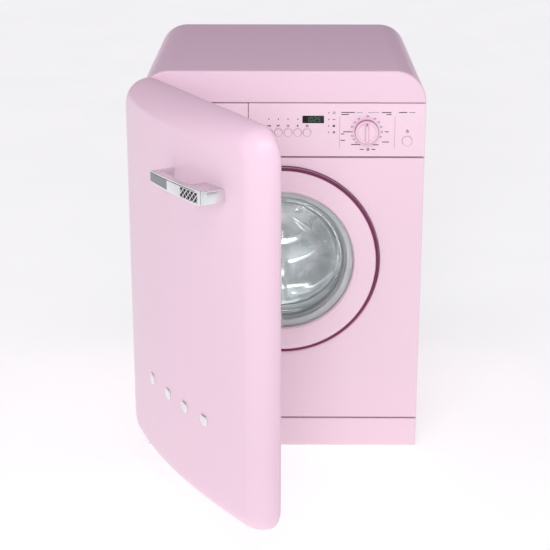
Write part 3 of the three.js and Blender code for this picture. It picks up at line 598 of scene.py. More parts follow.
def wrap_outline(inset):
    """Up the left side, over both round corners and down the right side, as (x, z)."""
    x, top, r = HALF - inset, TOP - inset, CORNER - inset
    left = [(-x, BOTTOM), (-x, BAND_BOTTOM), *upper_corner(inset, 20)]
    across = [(-(x - r) + 2 * (x - r) * k / 12, top) for k in range(1, 12)]
    right = [(-px, pz) for px, pz in reversed(left)]
    return left + across + right


def cabinet_wrap():
    """One bent sheet: the sides start behind the folded panels, the hood reaches the front."""
    lip, edge, rear = 20, 4.5, 3  # where the sides start, and the radii of the front and rear edges
    angles = [math.pi / 2 * k / 6 for k in range(7)]
    stations = [(edge * (1 - math.cos(a)), edge * (1 - math.sin(a))) for a in angles]
    first_full = len(stations)
    stations += [(lip + (DEPTH - rear - lip) * k / 8, 0) for k in range(9)]
    stations += [(DEPTH - rear * (1 - math.sin(a)), rear * (1 - math.cos(a))) for a in (0.5, 1.05, 1.57)]
    stations += [(DEPTH, 14)]  # the sheet turns in behind
    rows = [[(px, y, pz) for px, pz in wrap_outline(inset)] for y, inset in stations]
    count = len(rows[0])
    vertices = [p for row in rows for p in row]
    faces = []
    for i in range(len(rows) - 1):
        for j in range(count - 1):
            below_band = j == 0 or j == count - 2
            if i < first_full and below_band:
                continue
            faces.append((i * count + j, i * count + j + 1, (i + 1) * count + j + 1, (i + 1) * count + j))
    # the front band: strips from the hood's front edge down to a folded lip
    front = rows[0][1:-1]
    fold = [(0, 1.8), (0.5, 0.5), (1.8, 0), (17, 0)]
    base = len(vertices)
    bands = [front] + [[(px, y, min(pz, BAND_BOTTOM + up)) for px, _, pz in front] for y, up in fold]
    for band in bands:
        vertices += band
    width = len(front)
    for i in range(len(bands) - 1):
        for j in range(width - 1):
            a = base + i * width + j
            faces.append((a, a + 1, a + width + 1, a + width))
    obj = thicken(raw("cabinet_wrap_sheet", vertices, faces), SHEET)
    steady_normals(finish_piece(obj, "machine", ENAMEL, ["cabinet_wrap"], 40))


def folded_panel(node, name):
    """A steel panel whose four edges fold back round a small radius."""
    low, high = (corner.z for corner in box_mm(node))
    outer = block(name, (-HALF, HALF), (0, FOLD), (low, high), 2.0, edges=lambda m: m.y < 0.1)
    inner = block("inner", (-HALF + 1.5, HALF - 1.5), (1.5, FOLD + 5), (low + 1.5, high - 1.5), 1.2,
                  edges=lambda m: m.y < 2)
    return boolean(outer, [inner])


def front_panel():
    """The folded panel with its hole, and the dish that holds the porthole."""
    panel = folded_panel("front_panel", "front_panel_sheet")
    boolean(panel, [rod("hole", "y", RECESS + 1.2, (-5, 6), (0, AXIS), 160)])
    edge = [(RECESS + 1.2, 1.5), (RECESS + 1.2, 0), (RECESS, 1.2), (RECESS, RECESS_DEPTH - 2),
            (MOUTH, RECESS_DEPTH - 2), (MOUTH, RECESS_DEPTH), (RECESS + 2, RECESS_DEPTH), (RECESS + 2, 2)]
    dish = lathe("dish", softened(edge, 1.2, 3), 160)
    slot = block("slot", (-189, -169), (RECESS_DEPTH - 6, RECESS_DEPTH + 4), (429, 451), 3)
    boolean(dish, [slot])
    panel = joined("front_panel_sheet", [panel, dish])
    steady_normals(finish_piece(panel, "machine", PANEL_PAINT, ["front_panel"]))


def plinth():
    """The kick panel leans back towards the floor."""
    low, high = box_mm("plinth")
    lean, straight = 5, high.z - 30  # how far it leans back at the floor, and where that starts
    obj = block("plinth_sheet", (-HALF, HALF), (0, FOLD), (low.z, high.z), 2, edges=lambda m: m.y < 0.1)
    for vertex in obj.data.vertices:
        place = TO_MM @ vertex.co
        if place.y < 15:
            share = max(0.0, (straight - place.z) / (straight - low.z))
            vertex.co = CABINET @ Vector((place.x, place.y + lean * share, place.z))
    inner = block("inner", (-HALF + 1.5, HALF - 1.5), (8, 30), (low.z + 1.5, high.z - 1.5))
    boolean(obj, [inner])
    steady_normals(finish_piece(obj, "machine", PANEL_PAINT, ["plinth"]))


def control_fascia():
    """A moulded panel with the drawer's walled bay and holes for the buttons, the knob and the display."""
    low, high = box_mm("control_fascia")
    fascia = folded_panel("control_fascia", "control_fascia_panel")
    bay = lambda: block("bay", BAY, (-2, 14.4), (low.z - 3, high.z + 3))
    back = block("back_wall", (BAY[0] - 1.8, BAY[1] + 1.8), (0.3, 17.8), (low.z + 0.2, high.z - 0.2))
    boolean(back, [bay()])
    boolean(fascia, [bay()])
    boolean(fascia, [back], "UNION")
    holes = [block("tray", (-178, -75), (5, 40), (700, 768), 4)]
    for node in BUTTON_NODES + ["power_button"]:
        a, b = box_mm(node)
        holes.append(rod("hole", "y", (b.x - a.x) / 2 + 0.45, (-5, 12), ((a.x + b.x) / 2, (a.z + b.z) / 2)))
    holes.append(rod("hole", "y", 5, (-5, 12), (KNOB.x, KNOB.z)))
    a, b = box_mm("display_window")
    holes.append(block("hole", (a.x - 0.3, b.x + 0.3), (-5, 12), (a.z - 0.3, b.z + 0.3), 0.8,
                       edges=lambda m: abs(m.y - 3.5) < 1))
    boolean(fascia, holes)
    steady_normals(finish_piece(fascia, "machine", PINK_PLASTIC, ["control_fascia"]))


def back_panel():
    """Zinc-coated back with pressed ribs, a round service cover and screws round its rim."""
    rear = 594
    loops = [[(px, y, pz) for px, pz in back_outline(2.5)] for y in (rear - 2, rear)]
    sheet = loft("back_sheet", loops, cap_start=True, cap_end=True)
    inlet, outlet = (180, 780), (272, 650)
    cutters = [rod("hole", "y", 12.6, (585, 600), inlet), rod("hole", "y", 12.2, (585, 600), outlet)]
    ribs = [block("rib", (-200, 100), (593, 595.6), (z, z + 14), 1.2) for z in (700, 730)]
    ribs += [block("rib", (side - 7, side + 7), (593, 595.6), (120, 620), 1.2) for side in (-240, 228)]
    boolean(sheet, ribs, "UNION")
    boolean(sheet, cutters)
    pressed = [(0, 595.4), (140, 595.4), (146, 596.8), (158, 596.8), (164, 594.1), (0, 594.1)]
    cover = lathe("cover", softened(pressed, 1.5, 3), closed=False)
    screws = []
    circle = 152.8  # radius of the cover's ring of screws
    spots = [(circle * math.cos(a), AXIS + circle * math.sin(a), rear + 2.2)
             for a in (math.radians(30 + 60 * k) for k in range(6))]
    spots += [(side * 284, z, rear) for side in (-1, 1) for z in (60, 240, 420, 560, 740)]
    for *place, y in spots:
        head = [(0, y + 1.7), (2.2, y + 1.6), (3.6, y + 0.7), (3.8, y - 0.1), (0, y - 0.1)]
        screws.append(lathe("screw", head, 20, place, closed=False))
    panel = joined("back_panel_sheet", [sheet, cover] + screws)
    steady_normals(finish_piece(panel, "machine", ZINC, ["back_panel"]))


def back_outline(inset):
    """The back sheet's closed outline."""
    left = [(inset - HALF, 26.5), *upper_corner(inset, 16)]
    return left + [(-px, pz) for px, pz in reversed(left)]


def feet():
    """Rubber-faced levelling feet with a lock nut."""
    for node in ("foot_front_left", "foot_front_right", "foot_rear_left", "foot_rear_right"):
        centre = middle_mm(node).xy
        pad = [(0, 0), (19, 0), (21.8, 2.4), (21.8, 7), (13, 10.4), (7, 11), (0, 11)]
        parts = [lathe("pad", softened(pad, 1.2, 3, closed=False), 48, centre, closed=False, axis="z")]
        hexagon = [math.radians(60 * k) for k in range(6)]
        nut = [[(centre[0] + 10 * math.cos(a), centre[1] + 10 * math.sin(a), z) for a in hexagon]
               for z in (11.1, 17)]
        parts.append(loft("nut", nut, cap_start=True, cap_end=True))
        stem = [(0, 17.1), (5.4, 17.1), (6, 17.8), (5.4, 18.4), (6, 19), (5.6, 19.6), (0, 19.6)]
        parts.append(lathe("stem", stem, 32, centre, closed=False, axis="z"))
        finish_piece(joined(node + "_levelling", parts), "machine", BLACK_RUBBER, [node])


# ---- outer door, drawn closed and turned open by DOOR ----
def door_face(px):
    """Y of the door's outer face: bulged across its width."""
    return -(GAP + EDGE + BULGE * (1 - (px / HALF) ** 2))


def door_loop(inset):
    return rounded_loop(HALF, DOOR_BOTTOM, DOOR_TOP, DOOR_CORNER, inset)


def outer_door_skin():
    """A pressed skin: folded lip, round inner edge, straight side, full outer edge, bulged face."""
    inner, lip = 10, 14.5  # radius of the inner edge, and where the folded lip ends
    level = lambda inset, y: [(px, y, pz) for px, pz in door_loop(inset)]
    loops = [level(lip, -GAP - 9), level(lip, -GAP - 0.8), level(lip - 0.8, -GAP)]
    for k in range(7):
        angle = math.pi / 2 * k / 6
        loops.append(level(inner * (1 - math.sin(angle)), -GAP - inner * (1 - math.cos(angle))))
    steps, side = 14, 0.86  # the outer edge's steps, and how full it is
    for k in range(steps + 1):
        angle = math.pi / 2 * k / steps
        rise = math.sin(angle)
        depth = GAP + EDGE - ROUND * side * (1 - rise)
        loops.append([(px, -depth + (door_face(px) + GAP + EDGE) * rise ** 1.6, pz)
                      for px, pz in door_loop(ROUND * (1 - math.cos(angle)))])
    middle_z = (DOOR_BOTTOM + DOOR_TOP) / 2
    for k in range(1, 14):
        t = 1 - k / 14
        loops.append([(px * t, door_face(px * t), middle_z + (pz - middle_z) * t) for px, pz in door_loop(ROUND)])
    count = len(loops[0])
    vertices = [p for loop in loops for p in loop] + [(0, door_face(0), middle_z)]
    faces = []
    for i in range(len(loops) - 1):
        for j in range(count):
            k = (j + 1) % count
            faces.append((i * count + j, i * count + k, (i + 1) * count + k, (i + 1) * count + j))
    last = (len(loops) - 1) * count
    faces += [(last + j, last + (j + 1) % count, len(vertices) - 1) for j in range(count)]
    skin = thicken(raw("outer_door_skin_pressing", vertices, faces, DOOR), SHEET)
    skin = boolean(skin, hinge_slots())
    finish_piece(skin, "outer_door", ENAMEL, ["outer_door_skin"], 50)


def at_hinges(name, x, y, half, radius):
    """A block at each hinge's height, drawn in the closed door."""
    middles = [middle_mm(node).z for node in OUTER_HINGES]
    return [block(name, x, y, (z - half, z + half), radius, DOOR) for z in middles]


def hinge_slots():
    return at_hinges("slot", (-310, -281), (-34, -6), SLOT_HALF, 1.5)


def outer_door_liner():
    """A vacuum-formed inner lining with a deep tray, a stepped rim and shallow stiffening ribs."""
    rim, inset_tray = 14.8, HALF - LINER
    low, high = DOOR_BOTTOM + inset_tray, DOOR_TOP - inset_tray
    tray = lambda inset: rounded_loop(LINER - inset, low + inset, high - inset, 32)
    rows = [(door_loop(rim), -GAP - 6), (door_loop(rim), -GAP - 0.6), (door_loop(rim + 0.6), -GAP)]
    rows += [(door_loop(inset_tray - 8), -GAP)]
    for k in range(1, 5):
        angle = math.pi / 2 * k / 4
        rows.append((tray(-3 + 3 * math.sin(angle)), -GAP - 3 * (1 - math.cos(angle))))
    for k in range(6):
        angle = math.pi / 2 * k / 5
        rows.append((tray(1 + 9 * (1 - math.cos(angle))), -GAP - 19 - 9 * math.sin(angle)))
    floor = -GAP - 28
    ribs = ((40, 0), (44, 0.4), (48, 3), (60, 3.6), (64, 3.2), (68, 0.4), (74, 0))
    rows += [(tray(inset), floor + rise) for inset, rise in ribs]
    loops = [[(px, y, pz) for px, pz in points] for points, y in rows]
    middle_z = (DOOR_BOTTOM + DOOR_TOP) / 2
    for t in (0.75, 0.5, 0.25, 0.02):
        loops.append([(px * t, floor, middle_z + (pz - middle_z) * t) for px, pz in rows[-1][0]])
    sheet = thicken(loft("liner", loops, DOOR, cap_end=True), 1.6)
    bosses = []
    axis = (PIVOT.x, PIVOT.y)
    for node, web in zip(OUTER_HINGES, at_hinges("web", (PIVOT.x, -263), (-26, -GAP - 2.6), 22, 1)):
        z = middle_mm(node).z
        boss = rod("boss", "z", 7, (z - 22, z + 22), axis, 40, DOOR, 1)
        boolean(boss, [web], "UNION")
        boolean(boss, [rod("pin_hole", "z", 3.6, (z - 30, z + 30), axis, 40, DOOR)])
        bosses.append(boss)
    sheet = joined("outer_door_liner_forming", [sheet] + bosses)
    sheet = boolean(sheet, hinge_slots())
    finish_piece(sheet, "outer_door", WHITE_PLASTIC, ["outer_door_liner"], 40)


def outer_door_seal():
    """A soft bulb on a foot that lies on the liner's rim, relieved beside the two hinge leaves."""
    section = [(17, 0.3), (28, 0.3), (28, 1.6), (25.5, 2.4), (26.5, 4.6), (24, 6), (20, 6), (18.6, 4.4),
               (19.6, 2.4), (17, 1.6)]
    rows = [[(px, -GAP + y, pz) for px, pz in door_loop(inset)] for inset, y in softened(section, 1.4, 3)]
    seal = loft("outer_door_seal_bulb", rows, DOOR, wrap=True)
    for relief in at_hinges("relief", (-297, -257), (-5.2, 12), LEAF_HALF + 3, 0.4):
        boolean(seal, [relief])
    finish_piece(seal, "outer_door", GREY_RUBBER, ["outer_door_seal"], 60)


# ---- porthole ----
def porthole():
    """The pink ring, its burgundy trim, the glass bowl and what holds them behind."""
    profile = [(RING_HOLE, -2.4), (RING_HOLE + 3, -6.6), (162, -7.5), (162.7, -6.8), (163.4, -7.5), (190, -8),
               (199.6, -7.9), (200.3, -6.2), (203, -4.6), (RING, -2.9), (RING, 5), (RING_HOLE, 5)]
    body = lathe("porthole_frame_moulding", softened(profile, 0.8, 3), 160)
    hinge, span = PORTHOLE_HINGE.xy, (398, 482)
    boolean(body, [block("pocket", (180, 214), (-3.8, 8), span), rod("pocket", "z", 4.2, span, hinge, 40)])
    finish_piece(body, "porthole", PINK_PLASTIC, ["porthole_frame"], 30)
    trim = [(200.7, -7.9), (205.0, -7.7), (206.3, -6.5), (206.4, -3.4), (203, -5.1), (200.7, -7.0)]
    trim = lathe("porthole_trim_moulding", softened(trim, 0.6, 4), 160)
    finish_piece(trim, "porthole", BURGUNDY, ["porthole_trim_ring"], 40)
    outer = [(0, 105), (62, 102), (97, 90), (117, 62), (129, 22), (135, 10.4), (160, 9.4), (160, 5.6)]
    inner = [(151.6, 5.4), (149, 1.5), (141, 0.6), (132, 4.6), (124, 20), (112, 58), (92, 84), (60, 96), (0, 99)]
    bowl = lathe("porthole_glass_bowl", softened(outer + inner, 16, 6, closed=False), 128, closed=False)
    finish_piece(bowl, "porthole", GLASS, ["porthole_glass"], 60)
    inner_frame()
    hook()


def inner_frame():
    """A clamp ring behind the glass, with the hinge's arm and knuckle, a slot for the hook and short ribs."""
    hinge, span = PORTHOLE_HINGE.xy, (420, 460)
    profile = [(140, 10.9), (162, 9.9), (162, 5.5), (184, 5.5), (184, 12), (180, 14), (146, 16), (140, 16)]
    body = lathe("porthole_clamp_ring", softened(profile, 1.2, 3), 128)
    arm = block("arm", (181, hinge.x), (hinge.y + 1.2, 9), span, 0.8)
    boolean(arm, [rod("knuckle", "z", 3.9, span, hinge, 40, soft=0.6)], "UNION")
    boolean(body, [arm], "UNION")
    bore = rod("bore", "z", 2.3, (span[0] - 10, span[1] + 10), hinge, 40)
    boolean(body, [bore, block("slot", (-187, -169), (9, 22), (433, 447), 1)])
    turns = [15 * k + 7.5 for k in range(24)]
    ribs = [block("rib", (-1.2, 1.2), (13, 16.4), (148, 176), 0.5, around_axis(turn))
            for turn in turns if abs(math.cos(math.radians(turn))) <= 0.9]
    body = joined("porthole_clamp_ring", [body] + ribs)
    finish_piece(body, "porthole", WHITE_PLASTIC, ["porthole_inner_frame"], 35)


def hook():
    """The latch's flat hook on its pin."""
    side = [(-180, 10), (-176, 10), (-176, 42), (-180, 42), (-185.8, 36.4), (-185.8, 34.6), (-180, 34.6)]
    rows = [[(px, y, z) for px, y in softened(side, 0.8, 3)] for z in (435.2, 444.8)]
    plate = loft("latch_hook_forged", rows, cap_start=True, cap_end=True)
    boolean(plate, [rod("pin", "z", 3.3, (434.1, 445.9), (-178, 12.5), 32, soft=0.5)], "UNION")
    finish_piece(plate, "latch", STEEL, ["latch_hook"])


def gasket():
    """A moulded bellows between the panel's mouth and the tub."""
    profile = [(134.5, 18), (149, 17), (149.7, 24), (156, 29), (156.4, 45), (147, 54), (144, 66), (143, 95.4),
               (137, 95.4), (138, 66), (139, 52), (149.4, 42), (149.4, 33), (140, 26), (134.5, 23)]
    bellows = lathe("door_gasket_bellows", softened(profile, 3, 4), 128)
    finish_piece(bellows, "machine", GREY_RUBBER, ["door_gasket"], 60)


# ---- drum ----
def drum():
    """A rolled basket with a flared mouth, a pressed back and three moulded lifters."""
    shell = [(142, 131), (144.5, 125), (220, 125), (228, 133), (228, 431), (219, 440), (150, 440), (140, 434),
             (96, 434), (86, 440), (0, 440), (0, 438), (86, 438), (97, 432), (139, 432), (151, 438), (218, 438),
             (DRUM_WALL, 430), (DRUM_WALL, 134), (219, 127), (146, 127)]
    parts = [lathe("basket", softened(shell, 3, 4), 160)]
    parts += [lifter(around_axis(degrees)) for degrees in (60, 180, 300)]
    parts += [back_leaf(around_axis(60 * k + 8)) for k in range(6)]
    basket = joined("drum_basket_rolled", parts)
    finish_piece(basket, "drum", DRUM_STEEL, ["drum_basket"], 42)


def lifter(place):
    """A rounded ridge along the drum's wall, lower and narrower towards the mouth."""
    rows = []
    for k in range(13):
        t = k / 12
        ends = math.sin(math.pi * min(1, 4 * t, 4 * (1 - t)) / 2)
        height, base = (30 + 10 * t) * ends, 24 - 2 * t
        row = []
        for i in range(13):
            s = -1 + i / 6
            rise = height * (1 - abs(s) ** 2.4) ** 0.9
            row.append((s * base, 140 + 294 * t, math.sqrt((DRUM_WALL - 0.4) ** 2 - (s * base) ** 2) - rise))
        rows.append(row)
    return loft("lifter", rows, place, closed=False)


def back_leaf(place):
    """A leaf-shaped rib pressed into the drum's back wall."""
    rows = []
    for k in range(15):
        t = k / 14
        z = 34 + 150 * t
        width = 15 * math.sin(math.pi * t) ** 0.8 + 0.2
        rows.append([(width * s, 437.9 - 5 * math.sin(math.pi * t) * (1 - s * s), z)
                     for s in (-1 + i / 5 for i in range(11))])
    return loft("leaf", rows, place, closed=False)


# ---- door handle, hinges and marks ----
def bar_face(px):
    return door_face(px) - STAND


def prism(name, rows):
    """A closed solid between two outlines of the closed door."""
    return loft(name, rows, DOOR, cap_start=True, cap_end=True)


def handle_body(name, plan):
    """A plan seen from above, trimmed to the handle's front outline, which narrows towards the post."""
    body = prism(name, [[(px, y, z) for px, y in plan] for z in (HANDLE_LOW - 4, HANDLE_HIGH + 4)])
    outline = [(LEFT_END, HANDLE_LOW + 9), (LEFT_END + 10, HANDLE_LOW + 5), (RIGHT_END - 22, HANDLE_LOW),
               (RIGHT_END + 3, HANDLE_LOW + 2), (RIGHT_END + 3, HANDLE_HIGH), (LEFT_END, HANDLE_HIGH)]
    front = prism("trim", [[(px, y, pz) for px, pz in softened(outline, 5, 6)] for y in (-220, -50)])
    return boolean(body, [front], "INTERSECT")


def rounded_edges(obj, width, segments=4):
    modifier = obj.modifiers.new("edges", "BEVEL")
    modifier.width = width / 1000
    modifier.segments = segments
    modifier.limit_method = "ANGLE"
    modifier.angle_limit = math.radians(50)
    applied(obj)


def along_bar(start, end, steps, offset):
    return [(start + (end - start) * k / steps, bar_face(start + (end - start) * k / steps) + offset)
            for k in range(steps + 1)]


def handle():
    """A thick bar on a thin post and a broad block, faced by a polished plate with a knurled end."""
    back = PLATE + 0.3
    side = RIGHT_END - 53  # where the broad block starts
    inside = [(RIGHT_END + 3, -66), (side - 3, -66), (side, bar_face(side) + THICK + 8),
              (side - 14, bar_face(side) + THICK + 1)]
    post = [(LEFT_END + 20, bar_face(LEFT_END + 20) + THICK + 1),
            (LEFT_END + 12, bar_face(LEFT_END) + THICK + 7), (LEFT_END + 10.5, -70), (LEFT_END, -70)]
    inside, post = (softened(points, 6, 5, closed=False) for points in (inside, post))
    shoulder = [(LEFT_END, bar_face(LEFT_END) + back + 4), (LEFT_END + 3, bar_face(LEFT_END) + back + 1)]
    plan = shoulder + along_bar(LEFT_END + 8, RIGHT_END - 6, 16, back)
    plan += [(RIGHT_END - 1, bar_face(RIGHT_END) + back + 2), (RIGHT_END + 2, bar_face(RIGHT_END) + back + 7)]
    plan += inside[:-1] + along_bar(side - 16, LEFT_END + 24, 12, back + THICK) + post
    casting = boolean(handle_body("handle_casting_chromed", plan), [door_solid()])
    rounded_edges(casting, 1.4)
    finish_piece(casting, "outer_door", SATIN_CHROME, ["handle_casting"], 40)

    front = along_bar(LEFT_END + 5, RIGHT_END - 7, 18, 0)
    rear = along_bar(RIGHT_END - 7, LEFT_END + 5, 18, PLATE)
    plate = handle_body("handle_faceplate_polished", [(LEFT_END, bar_face(LEFT_END) + 2)] + front + rear
                        + [(LEFT_END, bar_face(LEFT_END) + PLATE + 2)])
    rounded_edges(plate, 0.8, 3)
    finish_piece(plate, "outer_door", CHROME, ["handle_faceplate"], 40)
    knurled_end()
    satin_inlay_and_lip_shade()


def knurled_end():
    """Crossed ridges standing on the plate's right end."""
    start, end = POLISHED[1], RIGHT_END - 10
    columns, lines = int((end - start) / 0.6), 33
    rows = []
    for j in range(lines + 1):
        row = []
        for i in range(columns + 1):
            px = start + (end - start) * i / columns
            low = HANDLE_LOW + 2.2 + 5 * max(0, (RIGHT_END - 22 - px)) / 150
            z = low + (HANDLE_HIGH - 4.2 - low) * j / lines
            a = abs((px + z) / KNURL_PITCH % 1 - 0.5)
            b = abs((px - z) / KNURL_PITCH % 1 - 0.5)
            edge = min(1, i / 3, (columns - i) / 3, j / 2, (lines - j) / 2)
            height = (0.25 + 0.9 * min(1, max(0, max(a, b) - 0.36) / 0.08)) * edge
            row.append((px, bar_face(px) - height + 0.25, z))
        rows.append(row)
    patch = loft("handle_knurling", rows, DOOR, closed=False)
    finish_piece(patch, "outer_door", KNURL, crease=20)


def satin_inlay_and_lip_shade():
    """A thin satin inlay over the plate's left end, its darker grey partly painted shade, and a dark strip of painted
    shade for the gap below the plate's upper lip.
    """
    rows = []
    # the inlay is satin steel, and its darker grey is also painted shade for the plate's duller reflection at this
    # end
    for k in range(25):
        px = LEFT_END + 1.6 + (POLISHED[0] - LEFT_END - 1.6) * k / 24
        low = HANDLE_LOW + 1.6 + 7 * max(0.0, (RIGHT_END - 22 - px)) / 162
        high = HANDLE_HIGH - 4
        y = bar_face(px) - 0.12 + (1.2 if k == 0 else 0)
        rows.append([(px, y + 0.5, low - 0.2), (px, y, low + 0.1), (px, y, high - 0.1), (px, y + 0.5, high + 0.2)])
    inlay = loft("handle_satin_shade_inlay", rows, DOOR, closed=False)
    finish_piece(inlay, "outer_door", SATIN_AND_SHADE, crease=50)
    # a dark strip 0.1 mm proud of the plate: painted shade for the gap below the plate's upper lip
    rows = []
    for k in range(41):
        px = LEFT_END + 3 + (RIGHT_END - 20 - LEFT_END) * k / 40
        half = 0.75 * min(1, 0.3 + k / 3, 0.3 + (40 - k) / 2)
        z = HANDLE_HIGH - 3.1
        y = bar_face(px)
        rows.append([(px, y + 0.5, z - half), (px, y - 0.1, z - half * 0.9), (px, y - 0.1, z + half * 0.9),
                     (px, y + 0.5, z + half)])
    gap_shade = loft("handle_lip_gap_shade", rows, DOOR, closed=False)
    finish_piece(gap_shade, "outer_door", DARK_PLASTIC_AND_SHADE, crease=50)


def door_solid():
    """The door's bulged block, for cutting the handle's feet to its face."""
    across = [HALF * (k / 20 - 1) for k in range(41)]
    plan = [(-HALF, -GAP - 5)] + [(px, door_face(px) + 0.1) for px in across] + [(HALF, -GAP - 5)]
    return prism("door_solid", [[(px, y, z) for px, y in plan] for z in (DOOR_BOTTOM, DOOR_TOP)])


def marks():
    """Four plain faceted chrome studs along the lower part of the door's face."""
    for i, px in enumerate(MARKS):
        rows = []
        for grow, rise in ((1, -0.6), (1, 1.4), (0.92, 2.0), (0.5, 3.4), (0.42, 3.5), (0.3, 3.1), (0.02, 3.1)):
            row = []
            for k in range(48):
                turn = 2 * math.pi * k / 48
                a, b = (math.copysign(abs(v) ** 0.75, v) * grow for v in (math.cos(turn), math.sin(turn)))
                x = px + 13 * a
                row.append((x, door_face(x) - rise, MARK_HEIGHT + 11.5 * b))
            rows.append(row)
        stud = loft(f"door_stud_{i + 1}", rows, DOOR, cap_end=True)
        finish_piece(stud, "outer_door", CHROME, crease=28)


def outer_hinges():
    """A leaf on the cabinet's front with two countersunk screws, an arm into the door and a pin."""
    head = [(0, -3.3), (2, -3.3), (3.7, -2.9), (3.8, -2.2), (0, -2.2)]
    axis = (PIVOT.x, PIVOT.y)
    for node in OUTER_HINGES:
        z = middle_mm(node).z
        leaf = block("leaf", (-292, -262), (-4, -0.3), (z - LEAF_HALF, z + LEAF_HALF), 1.4)
        arm = block("arm", (PIVOT.x - 4, PIVOT.x + 4), (PIVOT.y, -2), (z - 4, z + 4), 1)
        eye = rod("eye", "z", 6, (z - 4, z + 4), axis, 48, soft=0.8)
        pin = rod("pin", "z", 3, (z - 20, z + 20), axis, 32, soft=0.8)
        boolean(leaf, [arm, eye, pin], "UNION")
        screws = [(-270, z - 18), (-270, z + 18)]
        boolean(leaf, [rod("sink", "y", 4.2, (-6, -2.6), place, 32) for place in screws])
        heads = [lathe("head", head, 32, place, closed=False) for place in screws]
        leaf = joined(node + "_bracket", [leaf] + heads)
        finish_piece(leaf, "machine", STEEL, [node])


# ---- controls ----
def knob():
    """A round dial with a rolled rim and a tapered grip across it."""
    x, z, radius, depth = KNOB.x, KNOB.z, KNOB_RADIUS, KNOB_DEPTH
    skirt = softened([(0, -depth + 3.4), (17.5, -depth + 3.4), (20.4, -depth), (22.6, -depth), (24.2, -depth + 3),
                      (radius, -0.9), (0, -0.9)], 1.6, 4, closed=False)
    dial = lathe("dial", skirt, 96, (x, z), closed=False)
    rows = []
    steps = 24
    for k in range(steps + 1):
        t = k / steps
        at = z - radius + 3 + (2 * radius - 4.5) * t
        ends = math.sin(math.pi * min(1, 7 * t, 7 * (1 - t)) / 2) ** 0.6
        wide = (2.4 + 0.9 * (1 - t)) * (0.35 + 0.65 * ends)
        top = -depth + 2.5 - 10.5 * ends
        profile = [(-wide - 0.8, -depth + 3), (-wide, top + 2.4), (-wide + 0.9, top + 0.4), (-0.2, top),
                   (wide - 0.9, top + 0.4), (wide, top + 2.4), (wide + 0.8, -depth + 3)]
        rows.append([(x + dx, y, at) for dx, y in softened(profile, 0.8, 2, closed=False)])
    grip = loft("grip", rows, closed=False, cap_start=True, cap_end=True)
    shaft = rod("shaft", "y", 3.6, (-1, 21), (x, z), 32, soft=0.4)
    pointer = block("program_knob_pointer", (x - 0.9, x + 0.9), (-depth - 8.2, -depth - 7.7), (z + 15.5, z + 21), 0.2)
    # the side wall's rose colour is painted shade along the knob's edge
    rim = softened([(24.1, -9.6), (24.8, -8.6), (25.1, -1.2), (24.1, -1.2)], 0.5, 3)
    rim = lathe("program_knob_rim", rim, 96, (x, z))
    finish_piece(rim, "knob", ROSE_RIM_SHADE)
    dial = joined("program_knob_moulding", [dial, grip, shaft])
    finish_piece(dial, "knob", PINK_PLASTIC, ["program_knob"], 45)
    finish_piece(pointer, "knob", BURGUNDY)


def push_button(node, body):
    """A dished cap on a stem."""
    low, high = box_mm(node)
    centre = ((low.x + high.x) / 2, (low.z + high.z) / 2)
    radius = (high.x - low.x) / 2
    profile = softened([(0, -1.9), (radius * 0.72, -2.0), (radius - 0.9, -2.5), (radius - 0.1, -1.6), (radius, 8),
                        (radius * 0.5, 8), (radius * 0.5, 18.5), (0, 18.5)], 0.9, 4, closed=False)
    cap = lathe(node + "_cap", profile, 64, centre, closed=False)
    finish_piece(cap, body, PINK_PLASTIC, [node], 40)


SEGMENTS = {"0": "abcdef", "1": "bc", "2": "abdeg", "5": "acdfg"}


def display():
    """A smoked window with four green seven-segment numbers on its face."""
    low, high = box_mm("display_window")
    window = block("display_window_lens", (low.x, high.x), (0.3, 8), (low.z, high.z), 0.7)
    finish_piece(window, "machine", DISPLAY, ["display_window"])
    middle = (low.z + high.z) / 2
    wide, tall, half = DIGIT_WIDE, DIGIT_TALL, DIGIT_LINE / 2
    places = {"a": (0, tall, 1), "g": (0, 0, 1), "d": (0, -tall, 1), "f": (-wide / 2, tall / 2, 0),
              "b": (wide / 2, tall / 2, 0), "e": (-wide / 2, -tall / 2, 0), "c": (wide / 2, -tall / 2, 0)}
    lit = lambda x, z, a, b, radius: block("lit", (x - a, x + a), (0.08, 0.34), (z - b, z + b), radius)
    parts = []
    for i, digit in enumerate("1025"):
        x = low.x + 10.5 + 7.4 * i + (1.6 if i > 1 else 0)
        for name in SEGMENTS[digit]:
            dx, dz, flat = places[name]
            a, b = (wide / 2 - 0.35, half) if flat else (half, tall / 2 - 0.35)
            parts.append(lit(x + dx, middle + dz, a, b, 0.12))
    parts += [lit(low.x + 22.5, middle + dz, 0.5, 0.5, 0.1) for dz in (-2, 2)]
    finish_piece(joined("display_digits", parts), "machine", DIGITS)


def disc(name, profile, x, z):
    return lathe(name, profile, 24, (x, z), closed=False)


def lamp(x, z):
    return disc("lamp", [(0, -0.7), (0.875, -0.5), (1.25, -0.05), (1.25, 0.6), (0, 0.6)], x, z)


def dash(x, z, wide, tall):
    return block("dash", (x - wide / 2, x + wide / 2), PRINT, (z - tall / 2, z + tall / 2), 0.06)


def dot(x, z, radius):
    front, back = PRINT
    return disc("dot", [(0, front), (radius, front), (radius, back), (0, back)], x, z)


def hoop(x, z, radius, line=0.8):
    inner, (front, back) = radius - line, PRINT
    return lathe("hoop", [(inner, front), (radius, front), (radius, back), (inner, back)], 32, (x, z))


